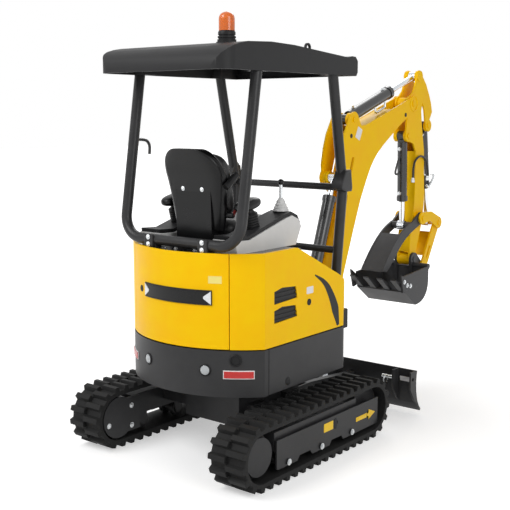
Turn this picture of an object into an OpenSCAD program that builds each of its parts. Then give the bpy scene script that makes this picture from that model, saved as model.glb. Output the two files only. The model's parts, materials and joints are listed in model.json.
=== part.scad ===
// Mini excavator on rubber tracks with a canopy, swing boom, dozer blade and hydraulic thumb.
// Millimetres. +X is forward, +Y is left, +Z is up. The origin is on the ground under the slew axis.

/* [Tracks] */
// Width of each rubber track
track_w = 230; // [200:1:260]
// Distance between the middles of the two tracks
track_gauge = 1070; // [1060:1:1200]
// Distance from the sprocket axle to the idler axle
axle_span = 1066; // [1030:1:1200]
// Distance of the sprocket axle behind the slew axis
sprocket_back = 618; // [590:1:650]
// Radius of the belt's outer face where it turns
belt_r = 156; // [150:1:165]
// Thickness of the belt
belt_t = 24; // [16:1:28]
// Height of the lugs
lug_h = 26; // [15:1:35]
// Number of lugs on each half of a track
lug_count = 43; // [35:1:48]
// Radius of the lower track rollers
roller_r = 44; // [38:1:46]
// Distance between neighbouring rollers
roller_pitch = 308; // [280:1:320]
// Thickness of the outer cover plate
guard_t = 10; // [6:1:14]
// Height and width of the telescopic beams
beam_h = 84; // [70:1:90]

/* [Undercarriage] */
// Half width of the centre frame
frame_half_w = 205; // [180:1:215]
// Half length of the centre frame
frame_half_l = 285; // [270:1:300]
// Height of the centre frame's underside
frame_low = 165; // [150:1:175]
// Height of the centre frame's top
frame_top = 372; // [365:1:380]
// Outer radius of the slew ring
slew_ring_r = 235; // [210:1:250]

/* [Blade] */
// Width of the dozer blade with its wings
blade_w = 1300; // [1200:1:1400]
// Height of the blade
blade_h = 265; // [240:1:280]
// Distance of the blade's cutting edge ahead of the slew axis
blade_x = 1026; // [1015:1:1080]
// Height of the cutting edge at rest
blade_lift = 40; // [20:1:50]
// Height of the blade arms' pivot
blade_pivot_z = 232; // [225:1:240]

/* [House] */
// Tail swing radius
tail_r = 640; // [625:1:650]
// Half width of the house
house_half_w = 490; // [480:1:500]
// Front of the house ahead of the slew axis
house_front = 392; // [385:1:400]
// Height of the house's underside
deck_low = 430; // [425:1:436]
// Thickness of the deck plate
deck_t = 40; // [30:1:44]
// Height of the grey skirt's top edge
skirt_top = 685; // [670:1:695]
// Height of the yellow covers' top edge
cover_top = 1206; // [1190:1:1220]
// Thickness of the covers
cover_t = 22; // [14:1:24]
// Gap between neighbouring covers
cover_gap = 6; // [4:0.5:8]
// Angle of the hood's seams from straight back
seam_angle = 33; // [30:1:36]

/* [Canopy] */
// Radius of the canopy tubes
tube_r = 30; // [24:1:32]
// Half distance between the canopy's side tubes
canopy_half_w = 425; // [415:1:430]
// Height of the roof's underside
roof_low = 2150; // [2130:1:2200]
// Front edge of the roof
roof_front = 505; // [480:1:520]
// Rear edge of the roof behind the slew axis
roof_back = 700; // [680:1:720]
// Half width of the roof
roof_half_w = 460; // [455:1:480]
// Height of the roof at its crown
roof_h = 150; // [130:1:160]
// Wall thickness of the roof
roof_t = 18; // [12:1:24]
// Radius of the lifting ring's hole
ring_hole_r = 15; // [12:1:16]

/* [Seat] */
// Width of the seat
seat_w = 470; // [430:1:480]
// Height of the top of the seat back
seat_top = 1750; // [1720:1:1780]

/* [Boom] */
// Distance of the swing pin ahead of the slew axis
swing_x = 700; // [690:1:710]
// Boom foot pin ahead of the slew axis
boom_foot_x = 870; // [860:1:880]
// Height of the boom foot pin
boom_foot_z = 630; // [625:1:640]
// Boom length between its pins
boom_len = 1700; // [1690:1:1760]
// Angle of the line between the boom's pins
boom_angle = 54; // [53:0.5:55]
// Half width of the boom
boom_half_w = 75; // [72:1:80]
// Thickness of the boom's and arm's plates
plate_t = 12; // [8:1:14]

/* [Arm] */
// Arm length between its pins
arm_len = 1152; // [1140:1:1200]
// Angle of the arm from straight down, forward positive
arm_angle = 3.5; // [2:0.5:5]
// Half width of the arm
arm_half_w = 52; // [48:1:54]

/* [Bucket and thumb] */
// Half width of the bucket
bucket_half_w = 200; // [190:1:230]
// Thickness of the bucket's plates
bucket_t = 14; // [10:1:16]
// Number of teeth
tooth_count = 4; // [3:1:5]
// Thickness of the thumb's and links' plates
link_t = 14; // [10:1:14]

/* [Cylinders and pins] */
// Radius of the pins
pin_r = 20; // [16:1:21]
// Radius of the large cylinders' barrels
barrel_r = 42; // [38:1:44]
// Radius of the small cylinders' barrels
small_barrel_r = 36; // [32:1:38]
// Radius of the rods
rod_r = 20; // [16:1:22]
// Side gap at a pivot
pivot_gap = 0.5; // [0.3:0.1:0.8]
// Radial clearance of a pin in its bore
pin_gap = 0.3; // [0.2:0.05:0.4]

/* [Hidden] */
$fn = 48;
YELLOW = "#f7c20c";
GREY = "#444446";
BLACK = "#1d1d1f";
STEEL = "#c8ccd0";
PALE = "#dcdcdc";

// Undercarriage places
axle_z = belt_r + lug_h;
track_y = track_gauge / 2;
sprocket_x = -sprocket_back;
idler_x = sprocket_x + axle_span;
belt_in_r = belt_r - belt_t;
wheel_r = belt_in_r - pivot_gap;
loop_len = 2 * axle_span + 2 * PI * belt_r;
lug_pitch = loop_len / lug_count;
beam_share = 0.52;
beam_x = beam_share * (idler_x - wheel_r);
beam_in = 175;
sleeve_wall = 14;
sleeve_half = 255;
side_frame_half = 72;
guard_y = track_w / 2 - 22;
blade_pivot_x = 400;
blade_arm_y = 170;
blade_t = 16;
blade_base = [320, 322];
blade_eye = [blade_x - 125, 196];

// Gap left where one piece sits on another
seat_gap = 0.3;

// House places
ring_top = deck_low - pivot_gap;
deck_top_z = deck_low + deck_t;
cover_low = skirt_top + cover_gap;
floor_z = skirt_top + 20;
rear_deck_z = cover_top - 12;
bulkhead_x = -70;
tank_in_y = -255;
hoop_x = -545;
tank_front = house_front - 109;
seam_dir = [-cos(seam_angle), -sin(seam_angle)];
front_corner_r = 60;
nose_r = 66;
nose_t = 34;
nose_low = deck_low + 8;
nose_high = 600;

// Pins of the boom, arm and bucket as [x, z] in the rest pose
king_pin = [675, 735];
boom_foot = [boom_foot_x, boom_foot_z];
boom_tip = boom_foot + boom_len * [cos(boom_angle), sin(boom_angle)];
boom_eye = boom_at(763, 455);
arm_base = boom_at(1147, 574);
arm_dir = [sin(arm_angle), -cos(arm_angle)];
arm_side = [cos(arm_angle), sin(arm_angle)];
arm_eye = arm_at(-193, 127);
bucket_base = arm_at(176, 260);
link_pin = arm_at(851, 73);
thumb_base = arm_at(228, -39);
bucket_pin = arm_at(1152, 0);
link_joint = link_pin + [250, -52];
bucket_ear = bucket_pin + [105, -80];
thumb_eye = link_pin + [-128, -47];

// Widths at the linkage, outwards from the arm
eye_half = 28;
ear_in = arm_half_w + pivot_gap;
ear_out = ear_in + link_t + 4;
thumb_in = ear_out + 5;
thumb_out = thumb_in + link_t;
tipping_in = thumb_out + 4;
tipping_out = tipping_in + link_t;
boss_r = pin_r + 24;

// Turns a flat vector by an angle
function turn(v, a) = [v[0] * cos(a) - v[1] * sin(a), v[0] * sin(a) + v[1] * cos(a)];
// Point u along the arm from its top pin and w towards its front
function arm_at(u, w) = boom_tip + u * arm_len / 1152 * arm_dir + w * arm_side;
// Point u along the line between the boom's pins and w above it
function boom_at(u, w) = boom_foot + turn([u * boom_len / 1700, w], boom_angle);
// Points of a list of [u, w] pairs on the boom or the arm
function on_boom(p) = [for (q = p) boom_at(q[0], q[1])];
function on_arm(p) = [for (q = p) arm_at(q[0], q[1])];
// Cubic curve through a and d with handles b and c
function curve(a, b, c, d, n = 8) = [for (i = [0:n]) let (t = i / n, s = 1 - t)
    s * s * s * a + 3 * s * s * t * b + 3 * s * t * t * c + t * t * t * d];
// Arc about c from angle a0 to a1
function arc(c, r, a0, a1, n = 8) = [for (i = [0:n]) let (a = a0 + (a1 - a0) * i / n)
    c + r * [cos(a), sin(a)]];
// Unit normal, to the left, of an open line at its point i
function side_of(p, i) = let (t = p[min(i + 1, len(p) - 1)] - p[max(i - 1, 0)]) [-t[1], t[0]] / norm(t);
// Open line moved by d to its left
function moved(p, d) = [for (i = [0:len(p) - 1]) p[i] + d * side_of(p, i)];
// Closed strip on the left of an open line, from inset to d away from it
function strip(p, d, inset = 0) = concat(moved(p, inset), [for (i = [len(p) - 1:-1:0]) p[i] + d * side_of(p, i)]);
// Point at length s along the track loop and h above the belt's outer face
function loop_at(s, h) = let (bow = PI * belt_r, k = s % loop_len)
    k < axle_span ? [sprocket_x + k, axle_z + belt_r + h]
    : k < axle_span + bow ? [idler_x, axle_z] + (belt_r + h) * turn([0, 1], -(k - axle_span) / bow * 180)
    : k < 2 * axle_span + bow ? [idler_x - (k - axle_span - bow), axle_z - belt_r - h]
    : [sprocket_x, axle_z] + (belt_r + h) * turn([0, -1], -(k - 2 * axle_span - bow) / bow * 180);

// Flat [x, z] shape carried from y0 to y1
module across(y0, y1) {
    translate([0, y1, 0]) rotate([90, 0, 0]) linear_extrude(y1 - y0) children();
}
// The same shape on both sides, from y0 to y1 out from the middle
module both_sides(y0, y1) {
    across(y0, y1) children();
    across(-y1, -y0) children();
}
// Round bar along Y at [x, z]
module bar_y(p, r, y0, y1) {
    translate([p[0], y1, p[1]]) rotate([90, 0, 0]) cylinder(h = y1 - y0, r = r);
}
// Two round bars along Y, mirrored
module bars_y(p, r, y0, y1) {
    bar_y(p, r, y0, y1);
    bar_y(p, r, -y1, -y0);
}
// Places its children at a with their Z along the line from a to b
module along(a, b) {
    d = b - a;
    translate([a[0], 0, a[1]]) rotate([0, atan2(d[0], d[1]), 0]) children();
}
// Straight round tube between two points in space
module tube(a, b, r) {
    d = b - a;
    translate(a) rotate([0, acos(d[2] / norm(d)), atan2(d[1], d[0])]) cylinder(h = norm(d), r = r);
}
module disc_at(p, r) {
    translate(p) circle(r);
}

// Running gear: one loop of belt with staggered lugs
module lug_half(y0, y1, phase) {
    across(y0, y1) difference() {
        polygon([for (i = [0:lug_count - 1]) for (q = [[0.05, 0], [0.16, lug_h], [0.5, lug_h], [0.61, 0]])
            loop_at((i + phase + q[0]) * lug_pitch, q[1])]);
        union() {
            disc_at([sprocket_x, axle_z], belt_in_r);
            disc_at([idler_x, axle_z], belt_in_r);
            translate([sprocket_x, axle_z - belt_in_r]) square([axle_span, 2 * belt_in_r]);
        }
    }
}
module track_loop() {
    lug_half(0, track_w / 2, 0);
    lug_half(-track_w / 2, 0, 0.5);
}
module track_wheels() {
    difference() {
        union() {
            bar_y([sprocket_x, axle_z], wheel_r, -26, 26);
            bar_y([sprocket_x, axle_z], wheel_r - 28, 26, guard_y - guard_t);
        }
        for (a = [0:30:330]) bar_y([sprocket_x, axle_z] + (wheel_r + 6) * [cos(a), sin(a)], 17, -27, 25.9);
    }
    bar_y([idler_x, axle_z], wheel_r, -38, 38);
    for (i = [-1, 0, 1]) {
        p = [roller_mid_x + i * roller_pitch, axle_z - belt_in_r + roller_r + pivot_gap];
        bars_y(p, roller_r, 30, 62);
        bar_y(p, roller_r - 14, -31, 31);
    }
}
roller_mid_x = sprocket_x + axle_span / 2 + 9;
side_frame_low = axle_z - belt_in_r + 2 * roller_r + 8;
side_frame_top = axle_z + belt_in_r - 40;
guard_low = axle_z - belt_in_r + 24;
guard_high = axle_z + belt_in_r - 78;
guard_back = sprocket_x + wheel_r + 2;
guard_front = idler_x + wheel_r - 56;
module guard_shape() {
    notch_h = 26;
    notch_half = 70;
    difference() {
        polygon(concat([[guard_back, guard_low + 8], [guard_back + 12, guard_low]],
            [[guard_front, guard_low], [guard_front, guard_high], [guard_back, guard_high]]));
        for (i = [-0.5, 0.5]) polygon([for (q = [[-1, -1], [-0.7, notch_h], [0.7, notch_h], [1, -1]])
            [roller_mid_x + i * roller_pitch + q[0] * notch_half, guard_low + q[1]]]);
        disc_at([idler_x - 375, guard_high - 45], 16);
    }
}
// Side frame of the left track about its own middle plane
module side_frame() {
    axle_half = 58;
    across(-side_frame_half, side_frame_half) polygon([[sprocket_x + wheel_r + 6, side_frame_low + 26],
        [sprocket_x + wheel_r + 40, side_frame_low], [idler_x - wheel_r - 6, side_frame_low],
        [idler_x - wheel_r - 6, side_frame_top], [sprocket_x + wheel_r + 6, side_frame_top]]);
    both_sides(42, axle_half) translate([idler_x - wheel_r - 20, axle_z - 30]) square([wheel_r + 60, 60]);
    both_sides(38.3, 42.1) disc_at([idler_x, axle_z], 40);
    across(guard_y - guard_t, guard_y) guard_shape();
    across(side_frame_half - 1, guard_y - guard_t + 1)
        translate([guard_back + 40, side_frame_low + 6]) square([axle_span * 0.62, 60]);
    for (i = [-1, 0, 1]) {
        p = [roller_mid_x + i * roller_pitch, axle_z - belt_in_r + roller_r + pivot_gap];
        for (s = [-1, 1]) across(s * 67 - 4, s * 67 + 4) polygon([p + [-30, 60], p + [-30, 0],
            p + [-12, -22], p + [12, -22], p + [30, 0], p + [30, 60]]);
        bar_y(p, 15, guard_y - 1, guard_y + 8);
    }
}
module telescopic_beams() {
    for (x = [-beam_x, beam_x]) translate([x - beam_h / 2, beam_in - track_y, beam_mid_z - beam_h / 2])
        cube([beam_h, track_y - beam_in - side_frame_half + 2, beam_h]);
}
beam_mid_z = 232;
module motor_shape() {
    bar_y([sprocket_x, axle_z], 88, -track_w / 2 + 25, -26.5);
    across(-track_w / 2 + 4, -track_w / 2 + 26) union() {
        disc_at([sprocket_x, axle_z], wheel_r - 10);
        translate([sprocket_x, axle_z - wheel_r + 30]) square([wheel_r + 34, 2 * wheel_r - 62]);
    }
    across(-track_w / 2 + 25, -side_frame_half)
        translate([sprocket_x + wheel_r + 8, axle_z - 50]) square([24, 100]);
}
module on_side(s) {
    mirror([0, s < 0 ? 1 : 0, 0]) translate([0, track_y, 0]) children();
}
module track_frame(s) {
    color(GREY) on_side(s) {
        side_frame();
        telescopic_beams();
    }
}
module rubber_track(s) {
    color(BLACK) on_side(s) track_loop();
}
module wheels(s) {
    color(GREY) on_side(s) track_wheels();
}
module travel_motor(s) {
    color(GREY) on_side(s) motor_shape();
}

// Centre frame with sleeves for the telescopic beams
module centre_frame() {
    hole = beam_h + 2 * pivot_gap;
    sleeve = hole + 2 * sleeve_wall;
    color(GREY) difference() {
        union() {
            translate([-frame_half_l, -frame_half_w, frame_low])
                cube([2 * frame_half_l, 2 * frame_half_w, frame_top - frame_low - 30]);
            for (x = [-beam_x, beam_x]) translate([x - sleeve / 2, -sleeve_half, beam_mid_z - sleeve / 2])
                cube([sleeve, 2 * sleeve_half, sleeve]);
            translate([0, 0, frame_top - 60]) cylinder(h = 60, r = slew_ring_r + 12);
            both_sides(blade_arm_y - 40, blade_arm_y - 22.5) blade_bracket();
            both_sides(blade_arm_y + 22.5, blade_arm_y + 35) blade_bracket();
            bars_y([blade_pivot_x, blade_pivot_z], pin_r, blade_arm_y - 40, blade_arm_y + 35);
            both_sides(eye_half + pivot_gap, eye_half + 18) translate([frame_half_l - 10, blade_base[1] - 34])
                square([blade_base[0] - frame_half_l + 44, 68]);
            bar_y(blade_base, pin_r, -eye_half - 18, eye_half + 18);
        }
        for (x = [-beam_x, beam_x]) translate([x - hole / 2, -sleeve_half - 1, beam_mid_z - hole / 2])
            cube([hole, 2 * sleeve_half + 2, hole]);
        translate([0, 0, frame_low - 1]) cylinder(h = frame_top, r = tie_hole_r);
    }
}
tie_hole_r = 70;
module blade_bracket() {
    translate([frame_half_l - 5, blade_pivot_z - 42]) square([blade_pivot_x - frame_half_l + 5, 84]);
    disc_at([blade_pivot_x, blade_pivot_z], 42);
}
module slew_ring() {
    color(BLACK) difference() {
        translate([0, 0, frame_top]) cylinder(h = ring_top - frame_top, r = slew_ring_r);
        translate([0, 0, frame_top - 1]) cylinder(h = ring_top - frame_top + 2, r = slew_ring_r - 60);
    }
}

// Dozer blade: curved plate, ribs, arms and wings
blade_top = blade_lift + blade_h;
function blade_face() = curve([blade_x, blade_lift], [blade_x - 70, blade_lift + 60],
    [blade_x - 75, blade_top - 70], [blade_x - 56, blade_top]);
module blade() {
    color(GREY) difference() {
        union() {
            across(-blade_w / 2, blade_w / 2) polygon(strip(blade_face(), blade_t));
            both_sides(blade_w / 2 - blade_end_t, blade_w / 2) blade_end();
            both_sides(blade_w / 2 - wing_w - blade_end_t, blade_w / 2 - wing_w) blade_end();
        }
        bars_y([blade_x - 112, blade_top - 48], tie_r, blade_w / 2 - blade_end_t - 1, blade_w / 2 + 1);
    }
}
tie_r = 12;
blade_end_t = 12;
wing_w = 128;
module blade_end() {
    x = blade_x - 140;
    polygon(concat(blade_face(), [[x, blade_top], [x, blade_top - 110], [x + 55, blade_lift + 70]]));
}
// Arms and cylinder lugs, seated against the back of the curved plate
module blade_arms() {
    color(GREY) difference() {
        union() {
            both_sides(blade_arm_y - 22, blade_arm_y + 22) {
                polygon([[blade_pivot_x, blade_pivot_z - 40], [blade_x - 40, blade_lift + 66],
                    [blade_x - 40, blade_lift + 184], [blade_pivot_x, blade_pivot_z + 40]]);
                disc_at([blade_pivot_x, blade_pivot_z], 40);
            }
            both_sides(eye_half + pivot_gap, eye_half + 16) polygon([blade_eye + [-30, -20], blade_eye + [90, -60],
                blade_eye + [90, 45], blade_eye + [-20, 30]]);
        }
        bars_y([blade_pivot_x, blade_pivot_z], pin_r + pin_gap, blade_arm_y - 30, blade_arm_y + 30);
        across(-blade_w / 2, blade_w / 2) polygon(concat(moved(blade_face(), blade_t + seat_gap),
            [[blade_x + 100, blade_top], [blade_x + 100, blade_lift]]));
    }
}

// Hydraulic cylinders: barrel with a bored eye, rod with its own pin in the eye
module barrel(a, b, len, r) {
    color(BLACK) difference() {
        union() {
            along(a, b) translate([0, 0, boss_r + 5]) cylinder(h = len - boss_r - 5, r = r);
            along(a, b) translate([-pin_r, 2 - eye_half, 0]) cube([2 * pin_r, 2 * eye_half - 4, boss_r + 8]);
            along(a, b) translate([0, 0, len - 34]) cylinder(h = 34, r = r + 5);
            bar_y(a, pin_r + 15, -eye_half, eye_half);
        }
        bar_y(a, pin_r + pin_gap, -eye_half - 1, eye_half + 1);
        along(a, b) translate([0, 0, boss_r + 30]) cylinder(h = len, r = rod_r + pin_gap);
    }
}
module rod(a, b, inner) {
    color(STEEL) union() {
        along(a, b) translate([0, 0, inner]) cylinder(h = norm(b - a) - inner - 10, r = rod_r);
        bar_y(b, pin_r + 14, -eye_half, eye_half);
    }
}
blade_barrel_len = norm(blade_eye - blade_base) - 105;
boom_barrel_len = norm(boom_eye - king_pin) - 130;
arm_barrel_len = norm(arm_eye - arm_base) - 370;
bucket_barrel_len = norm(link_joint - bucket_base) - 270;
thumb_barrel_len = norm(thumb_eye - thumb_base) - 185;
module blade_barrel() { barrel(blade_base, blade_eye, blade_barrel_len, small_barrel_r); }
module blade_rod() { rod(blade_base, blade_eye, blade_barrel_len - 150); }
module boom_barrel() { barrel(king_pin, boom_eye, boom_barrel_len, barrel_r); }
module boom_rod() { rod(king_pin, boom_eye, boom_barrel_len - 420); }
module arm_barrel() { barrel(arm_base, arm_eye, arm_barrel_len, barrel_r); }
module arm_rod() { rod(arm_base, arm_eye, arm_barrel_len - 130); }
module bucket_barrel() { barrel(bucket_base, link_joint, bucket_barrel_len, small_barrel_r); }
module bucket_rod() { rod(bucket_base, link_joint, bucket_barrel_len - 130); }
module thumb_barrel() { barrel(thumb_base, thumb_eye, thumb_barrel_len, small_barrel_r); }
module thumb_rod() { rod(thumb_base, thumb_eye, thumb_barrel_len - 200); }

// House: plan outline inset by d
module house_plan(d) {
    hw = house_half_w - d;
    r = front_corner_r - d;
    intersection() {
        union() {
            circle(r = tail_r - d, $fn = 96);
            translate([0, -hw + r]) square([house_front - d, 2 * (hw - r)]);
            translate([0, -hw]) square([house_front - d - r, 2 * hw]);
            for (s = [-1, 1]) disc_at([house_front - d - r, s * (hw - r)], r);
        }
        translate([-tail_r, -hw]) square([tail_r + house_front, 2 * hw]);
        union() {
            translate([-tail_r, -hw]) square([tail_r + house_front - d - r, 2 * hw]);
            translate([-tail_r, -hw + r]) square([tail_r + house_front - d, 2 * (hw - r)]);
            for (s = [-1, 1]) disc_at([house_front - d - r, s * (hw - r)], r);
        }
    }
}
module house_frame() {
    color(GREY) union() {
        translate([0, 0, deck_low]) linear_extrude(deck_t) house_plan(cover_t + seat_gap);
        for (z = [nose_low, nose_high]) translate([0, 0, z]) linear_extrude(nose_t) {
            translate([100, -nose_r - 20]) square([house_front - 100, 2 * nose_r + 40]);
            polygon([[house_front, -nose_r - 20], [swing_x, -nose_r], [swing_x, nose_r], [house_front, nose_r + 20]]);
            disc_at([swing_x, 0], nose_r);
        }
        for (s = [-1, 1]) translate([100, s * (nose_r + 5) - 12, deck_low + 1])
            cube([house_front - 130, 24, nose_high - deck_low + 1]);
        translate([swing_x, 0, nose_low]) cylinder(h = nose_high + nose_t - nose_low, r = pin_r + 8);
        translate([0, 0, deck_low + 1]) linear_extrude(floor_z - deck_low - 31) intersection() {
            house_plan(cover_t + 8);
            translate([house_front - 62, -house_half_w]) square([24, 2 * house_half_w]);
        }
        translate([0, 0, floor_z - 32]) linear_extrude(32) intersection() {
            house_plan(cover_t + 8);
            union() {
                translate([bulkhead_x + 22, tank_in_y + 2]) square([house_front, house_half_w - tank_in_y]);
                translate([tank_front + 4, -house_half_w]) square([house_front, 2 * house_half_w]);
            }
        }
    }
}
// Grey tail weight between the skirts
module counterweight() {
    color(GREY) difference() {
        translate([0, 0, deck_low]) linear_extrude(skirt_top - deck_low) intersection() {
            house_plan(0);
            translate([-tail_r, -tail_r]) square([tail_r - tail_depth, 2 * tail_r]);
        }
        translate([0, 0, deck_low - 1]) linear_extrude(deck_t + 1 + seat_gap) house_plan(cover_t);
        translate([0, 0, deck_low + deck_t - 1]) cylinder(h = skirt_top, r = tail_r - tail_wall);
        for (a = lamp_angles) rotate([0, 0, 180 + a]) translate([tail_r - 12, 0, lamp_z]) rotate([0, 90, 0])
            cylinder(h = 30, r = lamp_r + pivot_gap);
    }
}
tail_depth = sqrt(tail_r * tail_r - house_half_w * house_half_w) - 32;
tail_wall = 90;
lamp_angles = [-16, 21];
lamp_z = 575;
lamp_r = 24;
module lamps() {
    color(PALE) for (a = lamp_angles) rotate([0, 0, 180 + a]) translate([tail_r - 11.5, 0, lamp_z])
        rotate([0, 90, 0]) cylinder(h = 22, r = lamp_r);
}
// Grey panels along both sides and round the front corners
module skirts() {
    color(GREY) translate([0, 0, deck_low]) linear_extrude(skirt_top - deck_low) difference() {
        house_plan(0);
        house_plan(cover_t);
        translate([-tail_r, -tail_r]) square([tail_r - tail_depth + cover_gap, 2 * tail_r]);
        translate([0, -skirt_return_y]) square([2 * tail_r, 2 * skirt_return_y]);
    }
}
skirt_return_y = 400;
// Outline of the covers from the side
module cover_side() {
    polygon(concat([[-tail_r - 5, cover_low], [house_front + 1, cover_low], [house_front + 1, 880]],
        curve([house_front + 1, 880], [house_front - 4, 960], [house_front - 62, 990], [house_front - 172, 1040], 6),
        [[-120, cover_top], [-tail_r - 5, cover_top]]));
}
module cover_ring() {
    difference() {
        house_plan(0);
        house_plan(cover_t);
    }
}
far = 2 * tail_r;
cover_end_y = -house_half_w + front_corner_r - cover_gap;
module right_cover() {
    color(YELLOW) difference() {
        intersection() {
            translate([0, 0, cover_low]) linear_extrude(cover_top - cover_low) intersection() {
                cover_ring();
                polygon([[0, -cover_gap / 2], far * seam_dir - [0, cover_gap / 2], [-far, -far],
                    [far, -far], [far, cover_end_y], [0, cover_end_y]]);
            }
            across(-far, 0) cover_side();
        }
        across(-far, 0) vent_shapes(0);
    }
    color(YELLOW) deck_ledge() translate([bulkhead_x - 130, -far]) square([120, far]);
}
vent_x = -330;
module vent_shapes(d) {
    for (z = [0, 1]) polygon([[vent_x + d, 815 + 105 * z + d], [vent_x + 210 - d, 825 + 105 * z + d],
        [vent_x + 195 - d, 890 + 105 * z - d], [vent_x + 70, 900 + 105 * z - d], [vent_x + d, 885 + 105 * z - d]]);
}
// Dark louvres that fill the vents
module side_vents() {
    slat = 12;
    color(BLACK) intersection() {
        across(-house_half_w + 4, -house_half_w + cover_t) vent_shapes(pivot_gap);
        difference() {
            translate([vent_x, -house_half_w, cover_low]) cube([220, cover_t, 400]);
            for (i = [0:40]) translate([vent_x - 1, -house_half_w - 1, cover_low + i * 2 * slat])
                cube([222, 9, slat]);
        }
    }
}
// Ledge inside a cover that meets the deck's edge, within a flat outline
ledge_h = 20;
module deck_ledge() {
    translate([0, 0, rear_deck_z - ledge_h]) linear_extrude(ledge_h) intersection() {
        difference() {
            house_plan(cover_t - 1);
            house_plan(cover_t + cover_gap - seat_gap);
        }
        children();
    }
}
hood_ledge_angle = 15;
module rear_hood() {
    color(YELLOW) union() {
        translate([0, 0, cover_low]) linear_extrude(cover_top - cover_low) intersection() {
            cover_ring();
            polygon([[0, 0], far * [seam_dir[0], -seam_dir[1]] - [0, cover_gap / 2],
                far * seam_dir + [0, cover_gap / 2]]);
        }
        deck_ledge() polygon([[0, 0], far * turn([-1, 0], hood_ledge_angle), far * turn([-1, 0], -hood_ledge_angle)]);
    }
}
module left_part() {
    polygon([[bulkhead_x, -bulkhead_x * tan(seam_angle) + cover_gap / 2],
        far * [seam_dir[0], -seam_dir[1]] + [0, cover_gap / 2], [-far, far], [bulkhead_x, far]]);
}
module left_cover() {
    color(YELLOW) union() {
        translate([0, 0, cover_low]) linear_extrude(cover_top - cover_low) intersection() {
            cover_ring();
            left_part();
        }
        deck_ledge() left_part();
    }
}
// Yellow box over the tank beside the foot well
module tank_box() {
    gap = cover_t + cover_gap;
    color(YELLOW) intersection() {
        translate([0, 0, deck_top_z]) linear_extrude(cover_top - deck_top_z) intersection() {
            house_plan(gap);
            translate([bulkhead_x + 20.5, -far]) square([tank_front - bulkhead_x - 20.5, far + tank_in_y]);
        }
        across(-far, 0) translate([0, -8]) union() {
            cover_side();
            translate([-tail_r, deck_low]) square([tail_r + house_front, cover_low - deck_low + 1]);
        }
    }
}
// Black deck behind and beside the seat, with the bulkhead below it
module deck_top() {
    color(BLACK) union() {
        translate([0, 0, rear_deck_z - ledge_h]) linear_extrude(ledge_h) intersection() {
            house_plan(cover_t + cover_gap);
            translate([-tail_r, -tail_r]) square([tail_r + bulkhead_x + 20, 2 * tail_r]);
        }
        translate([0, 0, deck_top_z]) linear_extrude(rear_deck_z - deck_top_z - 19) intersection() {
            house_plan(cover_t + cover_gap);
            translate([bulkhead_x, -tail_r]) square([20, 2 * tail_r]);
        }
    }
}
module engine() {
    half_w = 230;
    back = 60 - sqrt(pow(tail_r - tail_wall, 2) - half_w * half_w);
    length = bulkhead_x - 40 - back;
    color(GREY) translate([back, -half_w, deck_top_z]) {
        cube([length, 2 * half_w, 380]);
        translate([60, 120, 380]) cube([length - 150, 200, 90]);
    }
}

// Operator's station
module seat_base() {
    color(BLACK) union() {
        translate([-420, -170, rear_deck_z]) cube([420, 340, 36]);
        across(-130, 130) polygon([[-420, rear_deck_z + 1], [-358, rear_deck_z + 1], [-403, rear_deck_z + 330],
            [-432, rear_deck_z + 330]]);
    }
}
module seat_cushion() {
    low = rear_deck_z + 36;
    color(BLACK) across(8 - console_in, console_in - 8) polygon(concat([[-330, low], [70, low]],
        arc([72, low + 60], 60, -60, 90, 6), [[-60, low + 104], [-330, low + 92]]));
}
module seat_back() {
    low = rear_deck_z + 150;
    color(BLACK) across(-seat_w / 2, seat_w / 2) polygon(concat([[-378, low], [-290, low - 10]],
        [[-318, low + 180]], curve([-352, seat_top - 90], [-362, seat_top], [-440, seat_top + 10], [-462, seat_top - 60], 6),
        [[-420, low + 260], [-402.5, low + 180]]));
}
console_in = 195;
console_out = 355;
console_back = hoop_x + tube_r + 25;
// Heights of the console's top above the deck at the ends of its slope
console_rear_h = 68;
console_front_h = 156;
slope_x = [-372, -60];
console_slope = atan((console_front_h - console_rear_h) / (slope_x[1] - slope_x[0]));
// Height of the sloping console top at x
function console_top_z(x) = rear_deck_z + console_rear_h + console_top_t + seat_gap
    + (x - slope_x[0]) * tan(console_slope);
console_top_t = 22;
module console_side(lift) {
    front_h = console_front_h + lift;
    translate([0, rear_deck_z]) polygon([[console_back + 14, 0], [console_back, console_rear_h + 6 + lift],
        [slope_x[0], console_rear_h + lift], [slope_x[1], front_h], [slope_x[1] + 70, front_h + 15],
        [slope_x[1] + 130, front_h - 10], [slope_x[1] + 158, front_h - 54], [slope_x[1] + 108, 0]]);
}
module consoles() {
    color(PALE) both_sides(console_in, console_out) console_side(0);
}
module console_tops() {
    color(GREY) both_sides(console_in + 8, console_out - 8) difference() {
        console_side(console_top_t);
        console_side(pivot_gap);
        translate([-tail_r, rear_deck_z - 10]) square([2 * tail_r, 52]);
    }
}
module joysticks() {
    y = (console_in + console_out) / 2;
    color(BLACK) for (s = [-1, 1]) translate([0, s * y, 0]) {
        translate([-255, 0, console_top_z(-255)]) rotate([0, -console_slope, 0]) {
            cylinder(h = 26, r1 = 40, r2 = 34);
            translate([0, 0, 25]) cylinder(h = 110, r = 16);
            translate([-62, -30, 134]) cube([120, 60, 24]);
        }
        translate([slope_x[1] + 68, 0, rear_deck_z + console_front_h + 15 + console_top_t + seat_gap]) {
            cylinder(h = 36, r1 = 34, r2 = 14);
            translate([0, 0, 35]) cylinder(h = 110, r = 9);
            translate([0, 0, 158]) sphere(r = 22);
        }
    }
}
module travel_levers() {
    color(BLACK) for (s = [-1, 1]) {
        translate([270, s * 70 - 40, floor_z]) cube([130, 80, 18]);
        tube([315, s * 70, floor_z + 10], [270, s * 70, floor_z + 480], 11);
        tube([270, s * 70, floor_z + 470], [265, s * 70, floor_z + 590], 17);
    }
}

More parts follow.
